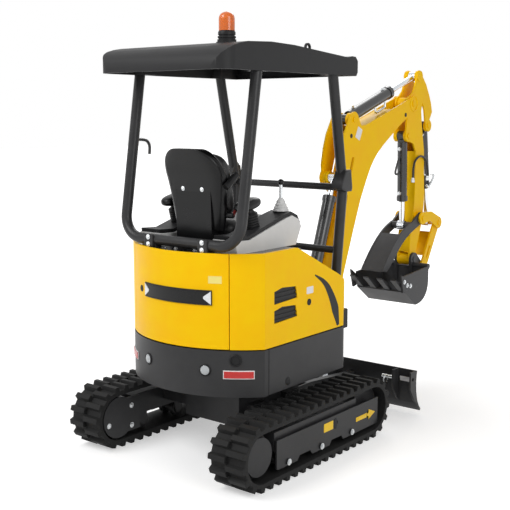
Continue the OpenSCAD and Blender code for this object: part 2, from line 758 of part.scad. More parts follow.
// Canopy
hoop_low_z = rear_deck_z + 48;
hoop_lean = 9;
hoop_bend = 130;
hoop_low_half = canopy_half_w - hoop_bend;
module rear_hoop() {
    rise = (roof_low + 12 - hoop_low_z) / cos(hoop_lean) - hoop_bend;
    color(GREY) difference() {
        union() {
            translate([hoop_x, 0, hoop_low_z]) rotate([0, hoop_lean, 0]) {
                rotate([90, 0, 0]) translate([0, 0, -hoop_low_half]) cylinder(h = 2 * hoop_low_half, r = tube_r);
                for (s = [0, 1]) mirror([0, s, 0]) {
                    translate([0, hoop_low_half, hoop_bend]) rotate([90, 0, 90]) rotate([0, 0, -90])
                        rotate_extrude(angle = 90) translate([hoop_bend, 0]) circle(tube_r);
                    translate([0, canopy_half_w, hoop_bend]) cylinder(h = rise, r = tube_r);
                }
            }
            for (s = [-1, 1]) translate([hoop_x - 22, s * 190 - 35, rear_deck_z + seat_gap]) cube([44, 70, 40]);
        }
        translate([-far, -far / 2, roof_low - pivot_gap]) cube([2 * far, far, far]);
    }
}
pillar_top = [300, canopy_half_w, roof_low - 1];
pillar_knee = [432, canopy_half_w - 12, 1500];
pillar_foot = [370, canopy_half_w - 30, floor_z];
module front_frame() {
    color(GREY) difference() {
        union() {
            for (s = [0, 1]) mirror([0, s, 0]) {
                tube(pillar_top + [-10, 0, 50], pillar_knee, tube_r);
                translate(pillar_knee) sphere(r = tube_r + 1);
                tube(pillar_knee, pillar_foot + [-2, 0, -20], tube_r);
            }
            tube(pillar_knee, [pillar_knee[0], -pillar_knee[1], pillar_knee[2]], tube_r * 0.7);
            tube(lower_bar, [lower_bar[0], -lower_bar[1], lower_bar[2]], tube_r * 0.7);
        }
        translate([-far, -far / 2, roof_low - pivot_gap]) cube([2 * far, far, far]);
        translate([-far, -far / 2, floor_z + pivot_gap - far]) cube([2 * far, far, far]);
    }
}
lower_bar = pillar_foot + (pillar_knee - pillar_foot) * 0.53;
function roof_line(d) = concat([[-roof_back + d, roof_low - (d > 0 ? 1 : 0)]],
    curve([-roof_back + d, roof_low + 20], [-roof_back + d, roof_low + 90], [-roof_back + 60, roof_low + 126 - d],
        [-roof_back + 190, roof_low + roof_h - 8 - d], 6),
    [[-320, roof_low + roof_h - d], [-120, roof_low + roof_h - 6 - d], [roof_front - 110, roof_low + 104 - d]],
    [[roof_front - 60, roof_low + 112 - d], [roof_front - 22, roof_low + 110 - d],
        [roof_front - d, roof_low + 86], [roof_front - d, roof_low + 22], [roof_front - 14 - d, roof_low - (d > 0 ? 1 : 0)]]);
module roof_plan(d) {
    r = 90;
    hw = roof_half_w - d;
    translate([-roof_back + r, -hw]) square([roof_back + roof_front - r + 1, 2 * hw]);
    translate([-roof_back, -hw + r]) square([r + 1, 2 * (hw - r)]);
    for (s = [-1, 1]) disc_at([-roof_back + r, s * (hw - r)], r);
}
module roof() {
    color(GREY) difference() {
        intersection() {
            across(-roof_half_w, roof_half_w) polygon(roof_line(0));
            translate([0, 0, roof_low]) linear_extrude(roof_h + 20) roof_plan(0);
        }
        difference() {
            intersection() {
                across(-roof_half_w + roof_t, roof_half_w - roof_t) polygon(roof_line(roof_t));
                translate([roof_t, 0, roof_low - 2]) linear_extrude(roof_h + 20) roof_plan(roof_t);
            }
            for (s = [-1, 1]) {
                translate([-430, s * (canopy_half_w - 10) - 45, roof_low - 2]) cube([110, 90, roof_h]);
                translate([240, s * (canopy_half_w - 10) - 45, roof_low - 2]) cube([110, 90, roof_h]);
            }
        }
    }
    color(GREY) translate([beacon_x, beacon_y, roof_low + roof_h - 16]) cylinder(h = 16, r = 56);
    color(STEEL) for (s = [-1, 1]) difference() {
        across(s * 330 - 6, s * 330 + 6) {
            disc_at([180, roof_low + 152], ring_hole_r + 11);
            translate([158, roof_low + 115]) square([44, 38]);
        }
        bar_y([180, roof_low + 152], ring_hole_r, s * 330 - 7, s * 330 + 7);
    }
}
beacon_x = -430;
beacon_y = -250;
beacon_low = roof_low + roof_h + seat_gap;
module beacon_base() {
    color(BLACK) translate([beacon_x, beacon_y, beacon_low]) {
        cylinder(h = 14, r = 50);
        translate([0, 0, 13]) cylinder(h = 45, r = 40);
    }
}
module beacon_lens() {
    color("#e8640a") translate([beacon_x, beacon_y, beacon_low + 58 + pivot_gap]) rotate_extrude()
        polygon(concat([[0, 0], [42, 0], [42, 60]], curve([42, 60], [41, 84], [24, 95], [0, 97], 6)));
}

// Swing post between the house and the boom
cheek_in = boom_half_w + pivot_gap;
cheek_out = cheek_in + 20;
module king_post() {
    low = nose_low + nose_t + pivot_gap;
    high = nose_high - pivot_gap;
    color(GREY) difference() {
        union() {
            translate([swing_x, 0, low]) cylinder(h = high - low, r = nose_r - 4);
            translate([swing_x, -cheek_out, low]) cube([100, 2 * cheek_out, high - low]);
            both_sides(cheek_in, cheek_out) {
                polygon([[swing_x + 75, low], [swing_x + 100, low], boom_foot + [40, -50], boom_foot + [50, 10],
                    boom_foot + [20, 48], king_pin + [60, 60], king_pin + [0, 52], king_pin + [-45, 20],
                    king_pin + [-40, -40], [swing_x + 75, nose_high + nose_t + 8]]);
                disc_at(boom_foot, 56);
                disc_at(king_pin, 50);
            }
            bars_y(king_pin, boss_r, eye_half + pivot_gap, cheek_in + 1);
            bar_y(king_pin, pin_r, -cheek_out - 8, cheek_out + 8);
            bar_y(boom_foot, pin_r, -cheek_out - 8, cheek_out + 8);
        }
        translate([swing_x, 0, low - 1]) cylinder(h = high - low + 2, r = pin_r + 8 + pin_gap);
    }
}

// Boom: side plates with lobes for the cylinders, and plates between them
boom_front = on_boom([[30, -48], [251, 58], [554, 137], [762, 186], [910, 205], [1010, 212], [1068, 208],
    [1130, 198], [1224, 168], [1440, 78]]);
boom_crown = on_boom([[1500, 212], [1331, 338], [1204, 434], [1165, 480]]);
boom_web = on_boom([[1100, 500], [980, 440], [850, 350], [709, 259], [501, 210], [198, 131], [50, 40]]);
module boom_plate() {
    polygon(concat(boom_front, [boom_at(1650, -28)], arc(boom_tip, 52, boom_angle - 70, boom_angle + 70, 8),
        [boom_at(1555, 170)], boom_crown, arc(arm_base, 52, boom_angle - 40, boom_angle + 100, 8),
        on_boom([[999, 615], [898, 584], [805, 542]]), arc(boom_eye, 50, boom_angle + 90, boom_angle + 190, 6),
        on_boom([[700, 336], [665, 320], [457, 270], [154, 192], [40, 112]]),
        arc(boom_foot, 58, boom_angle + 100, boom_angle + 280, 10)));
}
module boom() {
    inner = boom_half_w - plate_t;
    color(YELLOW) difference() {
        union() {
            both_sides(inner, boom_half_w) boom_plate();
            across(-inner - 1, inner + 1) polygon(strip(boom_front, plate_t, 2));
            across(-inner - 1, inner + 1) polygon(strip(boom_crown, plate_t, 2));
            across(-inner - 1, inner + 1) polygon(strip(boom_web, plate_t));
            bar_y(boom_foot, 44, 2 - boom_half_w, boom_half_w - 2);
            bars_y(boom_tip, 47, arm_half_w + pivot_gap, boom_half_w - 2);
            bars_y(boom_eye, boss_r, eye_half + pivot_gap, boom_half_w - 2);
            bars_y(arm_base, boss_r, eye_half + pivot_gap, boom_half_w - 2);
            bar_y(arm_base, pin_r, -boom_half_w - 6, boom_half_w + 6);
            bar_y(boom_tip, pin_r, -boom_half_w - 6, boom_half_w + 6);
            bars_y(boom_eye, pin_r, boom_half_w - 4, boom_half_w + 6);
        }
        bar_y(boom_foot, pin_r + pin_gap, -boom_half_w - 1, boom_half_w + 1);
        both_sides(inner - 1, boom_half_w + 1) boom_slot();
    }
}
module boom_slot() {
    a = boom_at(800, 390);
    b = boom_at(930, 430);
    t = atan2(b[1] - a[1], b[0] - a[0]);
    polygon(concat(arc(b, 14, t - 90, t + 90), arc(a, 14, t + 90, t + 270)));
}

// Arm: side plates with the horn for the bucket cylinder, closed by front and rear plates
arm_rear_edge = on_arm([[350, 65], [747, 38], [966, -23], [1090, -40]]);
arm_front_edge = on_arm([[175, 160], [358, 189], [728, 187], [837, 165], [935, 134], [1111, 50]]);
module arm_plate() {
    polygon(concat(arc(arm_eye, 44, arm_angle + 80, arm_angle + 200, 6),
        on_arm([[-92, 41], [-30, -46], [53, -48], [201, -77]]),
        arc(thumb_base, 44, arm_angle + 190, arm_angle + 280, 6), [arm_at(290, 30)], arm_rear_edge,
        arc(bucket_pin, 48, arm_angle - 170, arm_angle + 20, 10),
        [for (i = [len(arm_front_edge) - 1:-1:0]) arm_front_edge[i]],
        on_arm([[60, 150], [0, 168], [60, 200], [174, 215]]),
        arc(bucket_base, 45, arm_angle - 90, arm_angle + 70, 8), on_arm([[77, 316], [10, 300], [-51, 273], [-130, 228]])));
    disc_at(boom_tip, 60);
}
module arm() {
    inner = arm_half_w - plate_t;
    color(YELLOW) difference() {
        union() {
            both_sides(inner, arm_half_w) arm_plate();
            across(-inner - 1, inner + 1) polygon(strip(arm_rear_edge, plate_t, 2));
            across(-inner - 1, inner + 1) polygon(strip(arm_front_edge, -plate_t, -2));
            bar_y(bucket_pin, 45, 2 - arm_half_w, arm_half_w - 2);
            bar_y(boom_tip, 46, 2 - arm_half_w, arm_half_w - 2);
            bar_y(link_pin, boss_r, -thumb_in + pivot_gap, thumb_in - pivot_gap);
            bar_y(link_pin, pin_r, -tipping_out - 6, tipping_out + 6);
            bars_y(bucket_base, boss_r - 2, eye_half + pivot_gap, arm_half_w - 2);
            bar_y(bucket_base, pin_r, -arm_half_w - 6, arm_half_w + 6);
            bars_y(arm_eye, boss_r - 4, eye_half + pivot_gap, arm_half_w + 6);
            bars_y(thumb_base, boss_r - 2, eye_half + pivot_gap, arm_half_w - 2);
            bar_y(thumb_base, pin_r, -arm_half_w - 6, arm_half_w + 6);
        }
        bar_y(boom_tip, pin_r + pin_gap, -arm_half_w - 1, arm_half_w + 1);
        bar_y(bucket_pin, pin_r + pin_gap, -arm_half_w - 1, arm_half_w + 1);
    }
}

// Bucket linkage
module tipping_link() {
    color(YELLOW) difference() {
        union() {
            both_sides(tipping_in, tipping_out) {
                disc_at(link_pin, 46);
                disc_at(link_joint, 44);
                polygon(concat(arc(link_pin, 46, 78, 78, 1), [link_pin + [130, 42], link_joint + [8, 43],
                    link_joint + [-20, -40], link_pin + [110, -26], link_pin + [-8, -45]]));
            }
            bars_y(link_joint, pin_r, eye_half + pivot_gap, tipping_out + 6);
        }
        bars_y(link_pin, pin_r + pin_gap, tipping_in - 1, tipping_out + 1);
    }
}
module bucket_link() {
    d = bucket_ear - link_joint;
    a = atan2(d[1], d[0]);
    len = norm(d);
    color(YELLOW) difference() {
        union() {
            both_sides(thumb_in, thumb_out) {
                disc_at(link_joint, 42);
                disc_at(bucket_ear, 42);
                polygon([for (q = [[0, -42], [len, -42], [len, 42], [0, 42]]) link_joint + turn(q, a)]);
            }
            across(-thumb_in - 1, thumb_in + 1) polygon([for (q = [[70, 28], [len - 120, 28], [len - 120, 42], [70, 42]])
                link_joint + turn(q, a)]);
        }
        bars_y(link_joint, pin_r + pin_gap, thumb_in - 1, thumb_out + 1);
        both_sides(thumb_in - 1, thumb_out + 1) polygon([for (q = [[len - 190, -11], [len - 90, -11], [len - 90, 11],
            [len - 190, 11]]) link_joint + turn(q, a)]);
    }
}

// Bucket: shell of floor and back between side plates, ears, teeth
bucket_lip = bucket_pin + [-362, -187];
bucket_edge = bucket_pin + [-387, -69];
bucket_rim = bucket_pin + [-14, -40];
function bucket_shell() = concat([bucket_rim],
    curve(bucket_pin + [-14, -150], bucket_pin + [-20, -262], bucket_pin + [-110, -300], bucket_pin + [-200, -300], 10),
    [bucket_lip]);
tooth_len = 150;
module bucket() {
    shell = bucket_shell();
    color(GREY) difference() {
        union() {
            across(-bucket_half_w, bucket_half_w) polygon(strip(shell, -bucket_t));
            both_sides(bucket_half_w - bucket_t, bucket_half_w) polygon(concat(shell, [bucket_edge]));
            across(-bucket_half_w, bucket_half_w) translate(bucket_rim) circle(20);
            both_sides(ear_in, ear_out) {
                disc_at(bucket_pin, 50);
                disc_at(bucket_ear, 44);
                polygon([bucket_pin + [-50, 0], bucket_pin + [-50, -60], bucket_pin + [-20, -240],
                    bucket_ear + [-10, -60], bucket_ear + [42, -14], bucket_ear + [30, 30], bucket_pin + [38, 33]]);
            }
            bars_y(bucket_ear, boss_r - 6, ear_out - 1, thumb_in - pivot_gap);
            for (i = [0:tooth_count - 1]) tooth((i - (tooth_count - 1) / 2) * 2 * (bucket_half_w - 30) / (tooth_count - 1));
        }
        bar_y(bucket_pin, 58, -ear_in, ear_in);
    }
    color(GREY) bar_y(bucket_pin, pin_r, -ear_out - 4, ear_out + 4);
}
module tooth(y) {
    d = bucket_lip - (bucket_pin + [-200, -300]);
    a = atan2(d[1], d[0]);
    across(y - 22, y + 22) polygon([for (q = [[-60, -2], [tooth_len, -14], [tooth_len + 4, -22], [40, -34], [-60, -16]])
        bucket_lip + turn(q, a)]);
}

// Thumb: two curved plates joined by a web, turned by its own cylinder
thumb_tip = link_pin + [-545, -332];
thumb_back = concat([link_pin + [-20, 44]], curve(link_pin + [-117, -14], link_pin + [-280, -50], link_pin + [-420, -180],
    thumb_tip, 8));
thumb_face = concat([thumb_tip + [60, -14], link_pin + [-435, -310]], curve(link_pin + [-400, -280],
    link_pin + [-320, -200], link_pin + [-240, -120], link_pin + [-84, -71], 6), [link_pin + [-10, -46]]);
module thumb() {
    web = [for (i = [4:9]) thumb_back[i]];
    color(GREY) difference() {
        union() {
            both_sides(thumb_in, thumb_out) {
                polygon(concat(thumb_back, thumb_face));
                disc_at(link_pin, 46);
            }
            across(-thumb_in - 1, thumb_in + 1) polygon(strip(web, plate_t, 2));
            bars_y(thumb_eye, pin_r + 8, eye_half + pivot_gap, thumb_in + 1);
        }
        bars_y(link_pin, pin_r + pin_gap, thumb_in - 1, thumb_out + 1);
    }
}

centre_frame();
slew_ring();
track_frame(1);  // track_frame_left
rubber_track(1);  // track_left
wheels(1);  // wheels_left
travel_motor(1);  // travel_motor_left
track_frame(-1);  // track_frame_right
rubber_track(-1);  // track_right
wheels(-1);  // wheels_right
travel_motor(-1);  // travel_motor_right
blade();
blade_arms();
blade_barrel();
blade_rod();
house_frame();
counterweight();
skirts();
left_cover();
tank_box();
deck_top();
engine();
seat_base();
seat_cushion();
seat_back();
consoles();
console_tops();
joysticks();
travel_levers();
rear_hoop();
front_frame();
roof();
beacon_base();
beacon_lens();
lamps();
rear_hood();
right_cover();
side_vents();
king_post();
boom();
boom_barrel();
boom_rod();
arm();
arm_barrel();
arm_rod();
tipping_link();
bucket_link();
bucket_barrel();
bucket_rod();
bucket();
thumb();
thumb_barrel();
thumb_rod();
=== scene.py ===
"""Looks of a mini excavator: finishes, trim, hose, pipes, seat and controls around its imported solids.

Metres, +X forward, +Y to the driver's left, +Z up. New pieces are numpy surfaces: a profile carried
along a path, a profile turned about an axis, or a height over a grid.
"""

import json
import math

import bmesh
import bpy
import numpy as np
from mathutils import Matrix, Vector


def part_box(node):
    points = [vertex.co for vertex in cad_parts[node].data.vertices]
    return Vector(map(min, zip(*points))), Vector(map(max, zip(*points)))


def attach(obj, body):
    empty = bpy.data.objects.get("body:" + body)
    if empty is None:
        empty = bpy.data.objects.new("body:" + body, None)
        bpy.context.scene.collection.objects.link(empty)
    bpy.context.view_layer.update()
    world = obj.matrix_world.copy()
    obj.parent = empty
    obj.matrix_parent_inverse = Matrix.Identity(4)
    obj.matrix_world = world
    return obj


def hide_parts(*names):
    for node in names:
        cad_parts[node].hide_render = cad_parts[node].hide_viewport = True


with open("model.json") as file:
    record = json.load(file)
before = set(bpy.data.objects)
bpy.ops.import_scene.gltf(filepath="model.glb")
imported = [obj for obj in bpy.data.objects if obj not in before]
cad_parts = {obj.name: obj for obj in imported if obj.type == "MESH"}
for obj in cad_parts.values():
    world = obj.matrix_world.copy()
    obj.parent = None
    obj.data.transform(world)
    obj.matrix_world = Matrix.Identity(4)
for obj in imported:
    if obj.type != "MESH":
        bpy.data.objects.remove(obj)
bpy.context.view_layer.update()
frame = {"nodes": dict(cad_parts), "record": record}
nodes = frame["nodes"]
MM = 0.001
# Radius of the tail about the slew axis, in millimetres
TAIL_R = 640.0


# Camera and light

def make_camera():
    """Perspective camera at the photograph's place: behind, to the right and a little above the house."""
    data = bpy.data.cameras.new("camera")
    data.sensor_width = 36.0
    data.lens = 66.25
    data.clip_end = 100.0
    camera = bpy.data.objects.new("camera", data)
    bpy.context.scene.collection.objects.link(camera)
    camera.location = (-4.238, -3.486, 1.925)
    camera.rotation_euler = Vector((0.772, 0.618, -0.1475)).to_track_quat("-Z", "Y").to_euler()
    bpy.context.scene.camera = camera


def lamp(name, place, target, size, watts):
    """Square soft box at a place, facing a target."""
    data = bpy.data.lights.new(name, "AREA")
    data.size = size
    data.energy = watts
    light = bpy.data.objects.new(name, data)
    bpy.context.scene.collection.objects.link(light)
    light.location = place
    light.rotation_euler = (Vector(target) - Vector(place)).to_track_quat("-Z", "Y").to_euler()


# Materials

def linear(hex_colour):
    """sRGB hex to a linear colour with alpha 1."""
    parts = [int(hex_colour[i:i + 2], 16) / 255 for i in (1, 3, 5)]
    return [c / 12.92 if c <= 0.04045 else ((c + 0.055) / 1.055) ** 2.4 for c in parts] + [1.0]


def add(tree, kind, links=(), values=(), **settings):
    """Adds one node: settings are its properties, values its input values, links what feeds its inputs."""
    node = tree.nodes.new(kind)
    for key, value in settings.items():
        setattr(node, key, value)
    for key, value in dict(values).items():
        node.inputs[key].default_value = value
    for key, source in dict(links).items():
        tree.links.new(source, node.inputs[key])
    return node


def ramp(tree, source, stops):
    """Colour ramp on a value; stops are (place, linear colour)."""
    node = add(tree, "ShaderNodeValToRGB", {"Fac": source})
    elements = node.color_ramp.elements
    while len(elements) < len(stops):
        elements.new(0.5)
    for element, (place, colour) in zip(elements, stops):
        element.position = place
        element.color = colour
    return node.outputs["Color"]


def grey(v):
    """Linear grey with alpha 1."""
    return [v, v, v, 1.0]


def mixed(tree, share, first, second):
    """Colour between two by a share; each is a linked colour or a plain one."""
    node = add(tree, "ShaderNodeMix", {0: share}, data_type="RGBA")
    for socket, colour in ((node.inputs[6], first), (node.inputs[7], second)):
        if isinstance(colour, list):
            socket.default_value = colour
        else:
            tree.links.new(colour, socket)
    return node.outputs[2]


def surface(name, colours, roughness, spread=0.06, cloud_mm=180, grain_mm=3.0, grain=0.06, worn=0.0,
            worn_colour="#8d8d8c", **shader):
    """Material with cloudy colour between two tones, grain as bump, uneven gloss and scuffed patches.

    colours: two sRGB hex tones. cloud_mm and grain_mm: real sizes of the patches and of the grain.
    worn: share of bare metal in the scuffed patches.
    """
    material = bpy.data.materials.new(name)
    material.use_nodes = True
    tree = material.node_tree
    body = tree.nodes["Principled BSDF"]
    place = add(tree, "ShaderNodeTexCoord").outputs["Object"]
    cloud = add(tree, "ShaderNodeTexNoise", {"Vector": place},
                {"Scale": 1000 / cloud_mm, "Detail": 4.0, "Roughness": 0.6}).outputs["Fac"]
    colour = ramp(tree, cloud, [(0.3, linear(colours[0])), (0.7, linear(colours[1]))])
    rough = ramp(tree, cloud, [(0.25, grey(max(roughness - spread, 0.02))), (0.75, grey(roughness + spread))])
    if worn > 0:
        scuff = add(tree, "ShaderNodeTexNoise", {"Vector": place},
                    {"Scale": 1000 / 45, "Detail": 8.0, "Roughness": 0.75}).outputs["Fac"]
        patch = add(tree, "ShaderNodeMapRange", {"Value": scuff},
                    {"From Min": 0.62 - 0.2 * worn, "From Max": 0.72, "To Max": worn}).outputs["Result"]
        colour = mixed(tree, patch, colour, linear(worn_colour))
    tree.links.new(colour, body.inputs["Base Color"])
    tree.links.new(rough, body.inputs["Roughness"])
    fine = add(tree, "ShaderNodeTexNoise", {"Vector": place},
               {"Scale": 1000 / grain_mm, "Detail": 3.0, "Roughness": 0.55}).outputs["Fac"]
    bump = add(tree, "ShaderNodeBump", {"Height": fine}, {"Strength": grain, "Distance": grain_mm * MM * 0.5})
    tree.links.new(bump.outputs["Normal"], body.inputs["Normal"])
    for key, value in shader.items():
        body.inputs[key.replace("_", " ")].default_value = value
    return material


# Powder-coated sheet steel, glossy, with the faint orange peel of a baked coat
yellow_enamel = surface("yellow_powder_coat", ("#ffc400", "#ffce00"), 0.4, grain_mm=4.0, grain=0.03,
                        Specular_IOR_Level=0.12)
# Powder-coated structural steel, satin charcoal
grey_enamel = surface("charcoal_powder_coat", ("#2c2c2d", "#353536"), 0.33, grain_mm=3.0, grain=0.08,
                      Specular_IOR_Level=0.22)
# Sand-cast iron under charcoal paint: a broader, rougher skin
cast_paint = surface("painted_cast_iron", ("#2c2c2d", "#353536"), 0.42, grain_mm=5.0, grain=0.12,
                     Specular_IOR_Level=0.22)
# Black stoved enamel on the cylinders: deep and shiny
black_enamel = surface("black_stoved_enamel", ("#161617", "#1f1f20"), 0.27, grain_mm=2.5, grain=0.04,
                       Coat_Weight=0.3, Coat_Roughness=0.15)
# Hard chrome plate, ground and polished
chrome_plate = surface("hard_chrome_plate", ("#c9ccd0", "#dfe2e5"), 0.12, spread=0.03, grain_mm=1.2,
                       grain=0.02, Metallic=1.0)
# Zinc-plated steel of bolts and couplings: bright, slightly cloudy from the bath
zinc_plate = surface("zinc_plated_steel", ("#c3c6c8", "#d9dbdc"), 0.28, spread=0.08, cloud_mm=12,
                     grain_mm=1.0, grain=0.05, Metallic=1.0)
# Vulcanised rubber with carbon black, dull, with the mould's fine grain
track_rubber = surface("vulcanised_rubber", ("#171717", "#202020"), 0.68, grain_mm=6.0, grain=0.25,
                       Specular_IOR_Level=0.22)
# Braided hydraulic hose in a smooth rubber cover; the wrap marks are drawn coarse enough to show
hose_rubber = surface("wrapped_hose_rubber", ("#131313", "#1c1c1c"), 0.5, grain_mm=5.0, grain=0.2)
# Painted steel of the running gear, oily and dark
dark_steel = surface("oiled_steel", ("#29292a", "#353536"), 0.45, grain_mm=4.0, grain=0.1,
                     Specular_IOR_Level=0.22)
# Bucket steel: charcoal paint, slightly rubbed to bare metal where soil runs over it
digging_steel = surface("scuffed_bucket_steel", ("#38383a", "#424243"), 0.45, grain_mm=4.0, grain=0.12,
                        worn=0.1, Specular_IOR_Level=0.22)
# Injection-moulded ABS, light grey with a fine spark-eroded texture
pale_plastic = surface("moulded_light_grey_abs", ("#d2d2d1", "#dcdcdb"), 0.45, grain_mm=1.6, grain=0.08)
# Rotation-moulded polyethylene, charcoal with a pebbled skin
pebbled_plastic = surface("pebbled_charcoal_polyethylene", ("#1e1e1f", "#262627"), 0.5, grain_mm=2.5,
                          grain=0.2, Specular_IOR_Level=0.22)
# Glass-filled nylon, black and matt
black_plastic = surface("black_nylon", ("#131314", "#1c1c1d"), 0.46, grain_mm=2.0, grain=0.12,
                        Specular_IOR_Level=0.22)
# Vacuum-formed ABS of the seat's back shell: black and polished by the mould
shell_plastic = surface("polished_black_abs", ("#060607", "#0b0b0c"), 0.3, grain_mm=2.0, grain=0.03,
                        Specular_IOR_Level=0.25)
# PVC-coated seat fabric: black, with pebble grain and a soft sheen
seat_vinyl = surface("black_seat_vinyl", ("#0c0c0d", "#131314"), 0.46, grain_mm=2.2, grain=0.35,
                     Sheen_Weight=0.15)
# Dyed polycarbonate, clear orange
amber_plastic = surface("amber_polycarbonate", ("#ea6800", "#f27a00"), 0.2, grain_mm=2.0, grain=0.02,
                        Transmission_Weight=0.25, IOR=1.58)
# Clear polycarbonate lens
clear_plastic = surface("clear_polycarbonate", ("#cfd4d8", "#e2e6e8"), 0.12, grain_mm=3.0, grain=0.04,
                        Transmission_Weight=0.35, IOR=1.58)
# Moulded acrylic reflector: red, with prisms under its face drawn as a coarse grain
red_acrylic = surface("red_reflector_acrylic", ("#b3120f", "#cf1a14"), 0.2, spread=0.03, grain_mm=4.0,
                      grain=0.3, IOR=1.49)
# Dipped vinyl grip, dark red
red_grip = surface("dark_red_dipped_vinyl", ("#6d1512", "#7d1c17"), 0.4, grain_mm=2.0, grain=0.1)
# White polyester film of the blank plates, smooth with a faint gloss
white_film = surface("white_polyester_film", ("#e6e4e4", "#f0eeee"), 0.35, grain_mm=2.0, grain=0.02)
# Pale yellow polyester film of a blank label
yellow_film = surface("pale_yellow_polyester_film", ("#f4e27a", "#f8e98c"), 0.35, grain_mm=2.0,
                      grain=0.02)
# Bright yellow vinyl film of the track's plain marks
mark_film = surface("bright_yellow_vinyl_film", ("#f5c400", "#fbd00a"), 0.38, grain_mm=2.0, grain=0.02)
# Brushed aluminium of the badge's ends
brushed_aluminium = surface("brushed_aluminium", ("#b9bbbd", "#c9cbcd"), 0.3, cloud_mm=20, grain_mm=1.5,
                            grain=0.08, Metallic=1.0)

FINISH = {
    "yellow_paint": yellow_enamel, "grey_paint": grey_enamel, "cast_grey": cast_paint,
    "black_paint": black_enamel, "chrome_rod": chrome_plate, "track_rubber": track_rubber,
    "dark_steel": dark_steel, "seat_vinyl": seat_vinyl, "pale_plastic": pale_plastic,
    "grey_plastic": pebbled_plastic, "black_plastic": black_plastic, "amber_lens": amber_plastic,
    "clear_lens": clear_plastic,
}
OWN_FINISH = {"bucket": digging_steel, "thumb": digging_steel, "seat_base": shell_plastic}

# Width in millimetres of the rounded edges, where it is not 2
EDGE_ROUND = {"track_left": 3.0, "track_right": 3.0, "counterweight": 8.0, "roof": 10.0, "rear_hood": 5.0,
              "right_cover": 5.0, "left_cover": 5.0, "skirts": 5.0}


def dress_solids():
    """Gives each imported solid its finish, welded and with small rounded edges as cut plate has."""
    for part in frame["record"]["subparts"]:
        solid = nodes[part["node"]]
        solid.data.materials.clear()
        solid.data.materials.append(OWN_FINISH.get(part["node"], FINISH[part["material_slot"]]))
        weld = solid.modifiers.new("weld", "WELD")
        weld.merge_threshold = 0.00002
        round_edge = solid.modifiers.new("round_edge", "BEVEL")
        round_edge.width = EDGE_ROUND.get(part["node"], 2.0) * MM
        round_edge.segments = 2
        round_edge.limit_method = "ANGLE"
        round_edge.angle_limit = math.radians(38)
        solid.data.polygons.foreach_set("use_smooth", np.ones(len(solid.data.polygons), dtype=bool))
        shading = solid.modifiers.new("smooth", "WEIGHTED_NORMAL")
        shading.keep_sharp = True


# Surfaces: each shape is an array of points in millimetres and an array of quads

def grid(points, close_u=False, close_v=False):
    """Quads over a grid of points [n, m, 3]; a closed direction joins its last line to its first."""
    n, m = points.shape[:2]
    u = np.arange(n if close_u else n - 1)[:, None]
    v = np.arange(m if close_v else m - 1)[None, :]
    u1, v1 = (u + 1) % n, (v + 1) % m
    quads = np.stack(np.broadcast_arrays(u * m + v, u * m + v1, u1 * m + v1, u1 * m + v), axis=-1)
    return points.reshape(-1, 3), quads.reshape(-1, 4)


def join(*shapes):
    """Several shapes as one: their points in a row, each one's quads shifted by the points before it."""
    counts = np.cumsum([0] + [len(points) for points, _ in shapes])
    return (np.concatenate([points for points, _ in shapes]),
            np.concatenate([quads + start for (_, quads), start in zip(shapes, counts)]))


def repeat(shape, places):
    """The shape carried to each place [k, 3]."""
    points, quads = shape
    places = np.array(places, float)
    return ((points[None] + places[:, None]).reshape(-1, 3),
            (quads[None] + len(points) * np.arange(len(places))[:, None, None]).reshape(-1, 4))


def both_hands(shape):
    """The shape and its mirror image across y = 0."""
    points, quads = shape
    return join(shape, (points * (1, -1, 1), quads[:, ::-1]))


def unit(vector):
    """Vectors along the last axis at length one."""
    vector = np.asarray(vector, float)
    return vector / np.linalg.norm(vector, axis=-1, keepdims=True)


def cross_pair(axis):
    """Two unit vectors square to an axis and to each other."""
    axis = unit(axis)
    first = unit(np.cross(axis, np.eye(3)[np.argmin(np.abs(axis))]))
    return first, np.cross(axis, first)


def turned(profile, centre, axis=(0, 0, 1), sides=32):
    """Profile of (radius, height) pairs turned about an axis: centre + radius (cos, sin) + height."""
    radius, height = np.array(profile, float).T
    first, second = cross_pair(axis)
    angle = np.linspace(0, 2 * np.pi, sides, endpoint=False)[:, None]
    ring = np.cos(angle) * first + np.sin(angle) * second
    return grid(np.array(centre, float) + radius[:, None, None] * ring + height[:, None, None] * unit(axis),
                close_v=True)


def smooth(points, steps=10):
    """Catmull-Rom curve through the points, with that many steps in each span."""
    p = np.array(points, float)
    p = np.vstack([2 * p[:1] - p[1:2], p, 2 * p[-1:] - p[-2:-1]])
    t = np.linspace(0, 1, steps, endpoint=False)[None, :, None]
    a, b, c, d = (p[i:len(p) - 3 + i, None] for i in range(4))
    bend, twist = 2 * a - 5 * b + 4 * c - d, 3 * b - a - 3 * c + d
    line = 0.5 * (2 * b + (c - a) * t + bend * t ** 2 + twist * t ** 3)
    return np.vstack([line.reshape(-1, p.shape[1]), p[-2:-1]])


def tube(path, radius, sides=14):
    """Round section carried along a path, closed at both ends; its radius may change along the way."""
    path = np.asarray(path, float)
    along = unit(np.gradient(path, axis=0))
    # The way in which the path spreads least keeps the rings from twisting
    flat_way = np.linalg.svd(path - path.mean(0))[2][2]
    side = unit(np.cross(along, flat_way))
    angle = np.linspace(0, 2 * np.pi, sides, endpoint=False)[:, None]
    ring = np.cos(angle) * side[:, None] + np.sin(angle) * np.cross(side, along)[:, None]
    rows = path[:, None] + np.broadcast_to(radius, len(path))[:, None, None] * ring
    ends = np.repeat(path[[0, -1], None], sides, axis=1)
    return grid(np.concatenate([ends[:1], rows, ends[1:]]), close_v=True)


